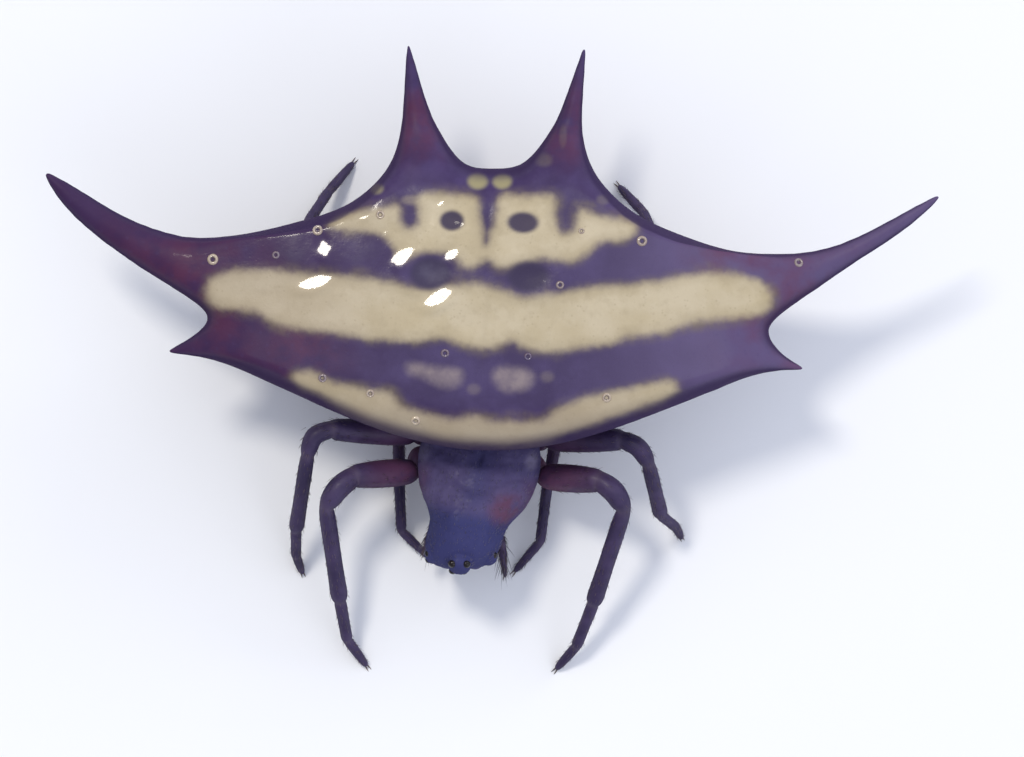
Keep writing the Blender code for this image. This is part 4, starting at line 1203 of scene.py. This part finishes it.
def front_limb(name, stations, side, sides, flatten=1.0):
    """A round skin along stations of the front body, on one side of the animal."""
    points = [turned((side * x, y, z)) for x, y, z, radius in stations]
    return limb(name, points, [station[3] for station in stations], sides, flatten)


def make_chelicera(side, side_name):
    obj = front_limb(f"chelicera_{side_name}_skin", CHELICERA, side, 12)
    subdivide_smoothly(obj, 3)
    points = points_of(obj)
    normals = normals_of(obj)
    put_points(obj, points + normals * (0.006 * waves(points, 16, 0.2, 12))[:, None])
    # Half of the head's painted navy sky reflection on the jaws.
    paint(obj, "head", np.full(len(points), 0.5))
    paint(obj, "warm", smooth(-points[:, 2], -0.95, -0.7) * 0.7)
    paint(obj, "median", np.zeros(len(points)))
    finish_piece(obj, CARAPACE_SHELL, (f"chelicera_{side_name}",))
    fang = front_limb(f"fang_{side_name}", FANG, side, 10)
    subdivide_smoothly(fang, 2)
    finish_piece(fang, HORN)


for side, side_name in SIDES:
    make_chelicera(side, side_name)


def make_mouth_plates():
    """The lobes at the roots of the palps and the lip between them."""
    for side, side_name in SIDES:
        lobe = front_limb(f"maxilla_{side_name}", MAXILLA, side, 10, 0.75)
        subdivide_smoothly(lobe, 2)
        paint(lobe, "patch", smooth(-straightened(points_of(lobe))[:, 1], 2.2, 2.4))
        finish_piece(lobe, STERNUM_SHELL)
    lip = front_limb("lip", LIP, 1, 10, 0.6)
    subdivide_smoothly(lip, 2)
    paint(lip, "patch", smooth(-straightened(points_of(lip))[:, 1], 1.9, 2.05))
    finish_piece(lip, STERNUM_SHELL)


make_mouth_plates()


def make_sternum():
    rings = []
    count = 24
    for height, share in ((0.955, 0.3), (0.965, 0.62), (1.02, 0.88), (1.12, 1.0), (1.22, 1.0), (1.29, 0.94)):
        ring = []
        for i in range(count):
            angle = 2 * math.pi * i / count
            waist = 1 + 0.05 * math.cos(8 * angle)
            narrowing = 1 - 0.16 * smooth(math.sin(angle), 0.0, 1.0)
            x = 0.56 * share * waist * narrowing * math.cos(angle)
            y = -0.72 + 1.0 * share * waist * math.sin(angle)
            ring.append(turned((x, y, height)))
        rings.append(ring)
    obj = draw_out("sternum_skin", rings)
    subdivide_smoothly(obj, 2)
    points = points_of(obj)
    normals = normals_of(obj)
    put_points(obj, points + normals * (0.008 * waves(points, 16, 0.22, 21))[:, None])
    local = straightened(points)
    patch = 1 - smooth(np.hypot(local[:, 0] / 0.3, (local[:, 1] + 0.78) / 0.55), 0.6, 1.1)
    paint(obj, "patch", patch * smooth(-normals[:, 2], 0.2, 0.6))
    finish_piece(obj, STERNUM_SHELL, ("sternum",))


make_sternum()


def make_pedicel():
    a, b = Vector((0.0, -1.06, 1.76)), Vector((0.0, -0.28, 1.87))
    count = 15
    points = [a.lerp(b, i / (count - 1)) for i in range(count)]
    radii = [0.27 * (1.08 if i % 3 == 1 else 0.9 if i % 3 == 0 else 0.98) for i in range(count)]
    obj = limb("pedicel_skin", points, radii, sides=14)
    subdivide_smoothly(obj, 2)
    paint(obj, "patch", np.zeros(len(obj.data.vertices)))
    finish_piece(obj, FOLD_SKIN, ("pedicel",))


make_pedicel()


SPINNERET_CENTRE = Vector((0.0, 1.5, 0.0))
# The collar round the spinnerets: height and radius. A spinneret: share of its length and radius.
COLLAR = (
    (1.5, 0.5), (1.2, 0.52), (1.12, 0.475), (1.02, 0.525), (0.92, 0.49), (0.82, 0.515), (0.7, 0.5),
    (0.64, 0.45), (0.66, 0.34),
)
SPINNERET = (
    (0.0, 0.15), (0.25, 0.15), (0.48, 0.145), (0.53, 0.115), (0.58, 0.13), (0.8, 0.105), (0.94, 0.06),
    (1.0, 0.03),
)
SPINNERET_COUNT = 6


def make_spinnerets():
    centre = SPINNERET_CENTRE
    collar = limb("spinneret_collar", [centre + UP * z for z, r in COLLAR], [r for z, r in COLLAR], sides=18)
    subdivide_smoothly(collar, 2)
    points = points_of(collar)
    paint(collar, "patch", 1 - smooth(points[:, 2], 0.66, 0.8))
    finish_piece(collar, TAIL_SHELL, ("spinnerets",))
    for number in range(SPINNERET_COUNT):
        angle = 2 * math.pi * (number + 0.5) / SPINNERET_COUNT
        out = Vector((math.cos(angle), math.sin(angle), 0.0))
        start = centre + out * 0.27 + UP * 0.77
        tip = start - out * 0.1 - UP * 0.42
        points = [start.lerp(tip, share) for share, r in SPINNERET]
        cone = limb(f"spinneret_{number + 1}", points, [r for share, r in SPINNERET], sides=12)
        subdivide_smoothly(cone, 2)
        paint(cone, "patch", 1 - smooth(points_of(cone)[:, 2], 0.4, 0.52))
        finish_piece(cone, TAIL_SHELL)


make_spinnerets()


# Legs and palps.

def along_lengths(corners, radii, swells, bows):
    """The points, half thicknesses and joint marks of a jointed limb.

    Each length has its own list of corner points, half thickness, swelling and bow.
    """
    path, girths, joints = [], [], []
    for number, (length, radius, swell, bow) in enumerate(zip(corners, radii, swells, bows)):
        spans = [(b - a).length for a, b in zip(length, length[1:])]
        total = sum(spans)
        for share, bulge in swell:
            left = share * total
            part = 0
            while part < len(spans) - 1 and left > spans[part]:
                left -= spans[part]
                part += 1
            point = length[part].lerp(length[part + 1], left / spans[part])
            point = point + UP * bow * 4 * share * (1 - share)
            girth = radius * bulge
            if share == 0.0 and number > 0:
                girth = min(radius, radii[number - 1]) * bulge
            path.append(point)
            girths.append(girth)
            joints.append(1.0 if share == 0.0 and number > 0 else 0.0)
    path.append(corners[-1][-1])
    girths.append(radii[-1] * 0.25)
    joints.append(0.0)
    return path, girths, joints


def draw_limb(name, path, girths, joints):
    """The limb's skin, with its joint marks kept on every vertex."""
    obj = limb(name, path, girths)
    paint(obj, "joint", np.array(joints)[read_marks(obj, "ring")])
    subdivide_smoothly(obj, 2)
    return obj


def keep_above_floor(obj):
    points = points_of(obj)
    points[:, 2] = np.maximum(points[:, 2], 0.0)
    put_points(obj, points)


def limb_bristles(name, path, girths, count, length, width, start, end):
    """Fine hairs that lean towards the limb's tip, thinning out towards both ends."""
    points = [Vector(point) for point in path]
    normals, sides = path_frames(points)
    ways = np.concatenate(([0.0], np.cumsum([(b - a).length for a, b in zip(points, points[1:])])))
    total = ways[-1]
    place = CHANCE.uniform(start, end, count) * total
    index = np.clip(np.searchsorted(ways, place) - 1, 0, len(points) - 2)
    share = ((place - ways[index]) / (ways[index + 1] - ways[index]))[:, None]
    p, n, s = (np.array([list(v) for v in row]) for row in (points, normals, sides))
    g = np.array(girths)
    centre = mix(p[index], p[index + 1], share)
    along = mix(n[index], n[index + 1], share)
    side = mix(s[index], s[index + 1], share)
    over = np.cross(along, side)
    girth = mix(g[index], g[index + 1], share[:, 0])
    angle = CHANCE.uniform(0, 2 * math.pi, count)
    out = side * np.cos(angle)[:, None] + over * np.sin(angle)[:, None]
    roots = centre + out * (girth * 0.93)[:, None]
    way = along * CHANCE.uniform(0.8, 1.2, count)[:, None] + out * CHANCE.uniform(0.25, 0.5, count)[:, None]
    lengths = length * CHANCE.uniform(0.6, 1.2, count)
    kept = roots[:, 2] > 0.08
    patches = np.column_stack((place / total * 0.95, angle / (2 * math.pi) * 0.95))
    obj = bristles(name, roots[kept], way[kept], lengths[kept], width * CHANCE.uniform(0.8, 1.2, kept.sum()),
                   along[kept] * 0.18, patches[kept])
    keep_above_floor(obj)
    return obj


def make_claws(name, tip, heading, size):
    """Two small hooks side by side at the end of a foot."""
    flat = Vector((heading.x, heading.y, 0.0)).normalized()
    side = flat.cross(UP).normalized()
    hooks = []
    for number, offset in enumerate((-0.35, 0.35)):
        start = tip + side * offset * size * 0.5 - heading * 0.02
        path = [start, start + heading * size * 0.5 + side * offset * size * 0.3,
                start + heading * size * 0.9 + flat * size * 0.25 + side * offset * size * 0.45,
                start + heading * size * 0.95 + flat * size * 0.62 + side * offset * size * 0.5]
        for point in path:
            point.z = max(point.z, size * 0.1)
        girths = (size * 0.17, size * 0.15, size * 0.1, size * 0.02)
        hook = limb(f"{name}_{number + 1}", path, girths, sides=8)
        subdivide_smoothly(hook, 1)
        hooks.append(hook)
    deselect()
    for hook in hooks:
        hook.select_set(True)
    bpy.context.view_layer.objects.active = hooks[0]
    bpy.ops.object.join()
    joined = call_it(name)
    keep_above_floor(joined)
    return joined


# How red each pair is at the femur's base.
LEG_WARMTH = {"leg_1": 0.9, "leg_2": 0.45, "leg_3": 0.3, "leg_4": 0.35}
# Hairs of a limb: how many, length, width, and the shares of the way between which they stand.
LEG_HAIR = (320, 0.1, 0.005, 0.2, 0.985)
PALP_HAIR = (150, 0.13, 0.006, 0.25, 0.99)
PALP_LONG_HAIR = (12, 0.42, 0.009, 0.5, 0.85)
CLAW_SIZE = 0.105


def make_leg(pair, side, joints):
    name = f"{pair}_{side}"
    points = [turned(joints[0])] + [Vector(joint) for joint in joints[1:]]
    root, hip, knee, cap_middle, cap_end, ankle, heel, tip = points
    tip = Vector((tip.x, tip.y, FOOT_LIFT))
    split = Vector(SHOULDERS[side]) if pair == "leg_1" else root.lerp(hip, 0.72)
    corners = ([root, split], [split, hip], [hip, knee], [knee, cap_middle, cap_end], [cap_end, ankle],
               [ankle, heel], [heel, tip])
    path, girths, marks = along_lengths(corners, LEG_RADII[pair], LEG_SWELL, LEG_BOW)
    leg = draw_limb(f"{name}_skin", path, girths, marks)
    keep_above_floor(leg)
    p = points_of(leg)
    hip_reach = np.linalg.norm(p - np.array(hip), axis=1)
    paint(leg, "warm", LEG_WARMTH[pair] * (1 - smooth(hip_reach, 0.4, 2.0)))
    nodes = [f"{name}_{part}" for part in ("coxa", "femur", "tibia", "tarsus")]
    finish_piece(leg, LEG_SHELL, nodes)
    hair = limb_bristles(f"{name}_hair", path, girths, *LEG_HAIR)
    finish_piece(hair, BRISTLE)
    claws = make_claws(f"{name}_claws", tip, (tip - heel).normalized(), CLAW_SIZE)
    finish_piece(claws, HORN)


for (pair, side), joints in LEGS.items():
    make_leg(pair, side, joints)


PALP_SWELL = (
    ((0.0, 0.85), (0.4, 1.0), (0.85, 0.95)),
    ((0.0, 0.8), (0.2, 0.98), (0.6, 1.0), (0.9, 0.92)),
    ((0.0, 0.82), (0.25, 1.0), (0.7, 1.0)),
    ((0.0, 0.82), (0.12, 1.0), (0.45, 0.85), (0.8, 0.55), (0.95, 0.34)),
)
PALP_RADII = (0.17, 0.16, 0.135, 0.12)
PALP_BOW = (0.0, 0.0, 0.0, 0.02)
PALP_GIRTH = {"left": 0.86, "right": 1.0}


def make_palp(side, corners):
    name = f"palp_{side}"
    base, elbow, wrist, tip = (turned(point) for point in corners)
    lengths = ([base, base.lerp(elbow, 0.45)], [base.lerp(elbow, 0.45), elbow, elbow.lerp(wrist, 0.4)],
               [elbow.lerp(wrist, 0.4), wrist], [wrist, tip])
    radii = [PALP_GIRTH[side] * radius for radius in PALP_RADII]
    path, girths, marks = along_lengths(lengths, radii, PALP_SWELL, PALP_BOW)
    palp = draw_limb(f"{name}_skin", path, girths, marks)
    paint(palp, "warm", np.full(len(palp.data.vertices), 0.1))
    finish_piece(palp, LEG_SHELL, (name,))
    hair = limb_bristles(f"{name}_hair", path, girths, *PALP_HAIR)
    finish_piece(hair, BRISTLE)
    long_hair = limb_bristles(f"{name}_long_hair", path, girths, *PALP_LONG_HAIR)
    finish_piece(long_hair, DOWN)


for side, corners in PALPS.items():
    make_palp(side, corners)


# The down: how many hairs, on which stations of the carapace, and how far round it from side to side.
DOWN_COUNT = 900
DOWN_STATIONS = (1.0, 8.9)
DOWN_ANGLES = (0.03 * math.pi, 0.97 * math.pi)


def make_down():
    """Short pale hairs over the carapace, lying back from the head.

    Each stands where the skin is nearest to a random place on the rings of the carapace, whatever the order
    of the skin's vertices.
    """
    shell = bpy.data.objects["carapace_skin"]
    faces = [tuple(face.vertices) for face in shell.data.polygons]
    skin = BVHTree.FromPolygons((points_of(shell) / MM).tolist(), faces)
    stations = CHANCE.uniform(*DOWN_STATIONS, DOWN_COUNT)
    angles = CHANCE.uniform(*DOWN_ANGLES, DOWN_COUNT)
    columns = [np.interp(stations, range(len(CARAPACE)), column) for column in zip(*CARAPACE)]
    nearest = []
    for angle, forward, half_width, low, high in zip(angles, *columns):
        edge = mix(low, high, CARAPACE_EDGE_SHARE)
        place = turned((half_width * math.cos(angle), -forward, edge + (high - edge) * math.sin(angle)))
        nearest.append(skin.find_nearest(place)[:2])
    roots = np.array([place for place, normal in nearest])
    normals = np.array([normal for place, normal in nearest])
    local = straightened(roots)
    spread = CHANCE.normal(0, 0.25, (DOWN_COUNT, 3))
    back = np.array(turned((0, 1, 0)) - WAIST)
    ways = normals * 0.55 + back * 0.6 + spread
    around = np.arctan2(normals[:, 2], normals[:, 0]) / (2 * math.pi) + 0.5
    patches = np.column_stack((around * 0.95, np.clip((0.6 - local[:, 1]) / 4.2, 0, 0.97)))
    lengths = CHANCE.uniform(0.06, 0.11, DOWN_COUNT)
    widths = CHANCE.uniform(0.003, 0.005, DOWN_COUNT)
    hair = bristles("carapace_down", roots - normals * 0.01, ways, lengths, widths, back * 0.25, patches)
    finish_piece(hair, DOWN)


make_down()


# Floor, lights and camera.

deselect()
bpy.ops.mesh.primitive_plane_add(size=3.0, location=(0, 0, 0))
floor = call_it("floor")
floor.data.materials.append(floor_finish())


def add_light(name, place, size, watts, colour):
    light = bpy.data.lights.new(name, "AREA")
    light.shape = "DISK"
    light.size = size
    light.energy = watts
    light.color = colour
    obj = bpy.data.objects.new(name, light)
    bpy.context.collection.objects.link(obj)
    obj.location = place
    obj.rotation_euler = (-Vector(place)).to_track_quat("-Z", "Y").to_euler()


# Lamps: place and size in metres, power in watts and colour.
LAMPS = {
    "key": (KEY_PLACE * MM, 0.15, 2.7, (1.0, 0.94, 0.82)),
    "fill": ((0.50, -0.45, 0.45), 0.50, 0.8, (0.92, 0.95, 1.0)),
    "side": ((0.45, 0.50, 0.35), 0.30, 0.7, (0.95, 0.97, 1.0)),
}
for lamp, look in LAMPS.items():
    add_light(lamp, *look)

# The room's light, brighter from one side: where it is brightest, and its dimmest and brightest tint.
BRIGHT_WAY = Vector((0.55, 0.15, 0.82)).normalized()
ROOM_DIM = (0.42, 0.44, 0.49, 1.0)
ROOM_BRIGHT = (0.90, 0.95, 1.12, 1.0)
world = bpy.data.worlds.new("soft_room")
world.use_nodes = True
sky = world.node_tree
heading = sky.nodes.new("ShaderNodeTexCoord")
toward = sky.nodes.new("ShaderNodeVectorMath")
toward.operation = "DOT_PRODUCT"
toward.inputs[1].default_value = BRIGHT_WAY
sky.links.new(heading.outputs["Generated"], toward.inputs[0])
bright = sky.nodes.new("ShaderNodeMapRange")
bright.interpolation_type = "SMOOTHSTEP"
bright.inputs["From Min"].default_value = 0.2
bright.inputs["From Max"].default_value = 1.0
sky.links.new(toward.outputs["Value"], bright.inputs["Value"])
tint = sky.nodes.new("ShaderNodeMix")
tint.data_type = "RGBA"
tint.inputs[6].default_value = ROOM_DIM
tint.inputs[7].default_value = ROOM_BRIGHT
sky.links.new(bright.outputs["Result"], tint.inputs[0])
sky.links.new(tint.outputs[2], sky.nodes["Background"].inputs["Color"])
bpy.context.scene.world = world

# The photo takes in this width at the shield's rim, this far below the camera, and is turned a little.
PHOTO_WIDTH = 21.558
PHOTO_REACH = 150.0
PHOTO_TURN = math.radians(1.5)
SENSOR_WIDTH = 36.0
camera_data = bpy.data.cameras.new("camera")
camera_data.sensor_width = SENSOR_WIDTH
camera_data.lens = SENSOR_WIDTH * PHOTO_REACH / PHOTO_WIDTH
camera_data.clip_start = 0.001
camera_data.clip_end = 10.0
camera = bpy.data.objects.new("camera", camera_data)
bpy.context.collection.objects.link(camera)
camera.location = CAMERA_PLACE * MM
camera.rotation_euler = (0.0, 0.0, PHOTO_TURN)
bpy.context.scene.camera = camera
bpy.context.scene.view_settings.view_transform = "Standard"
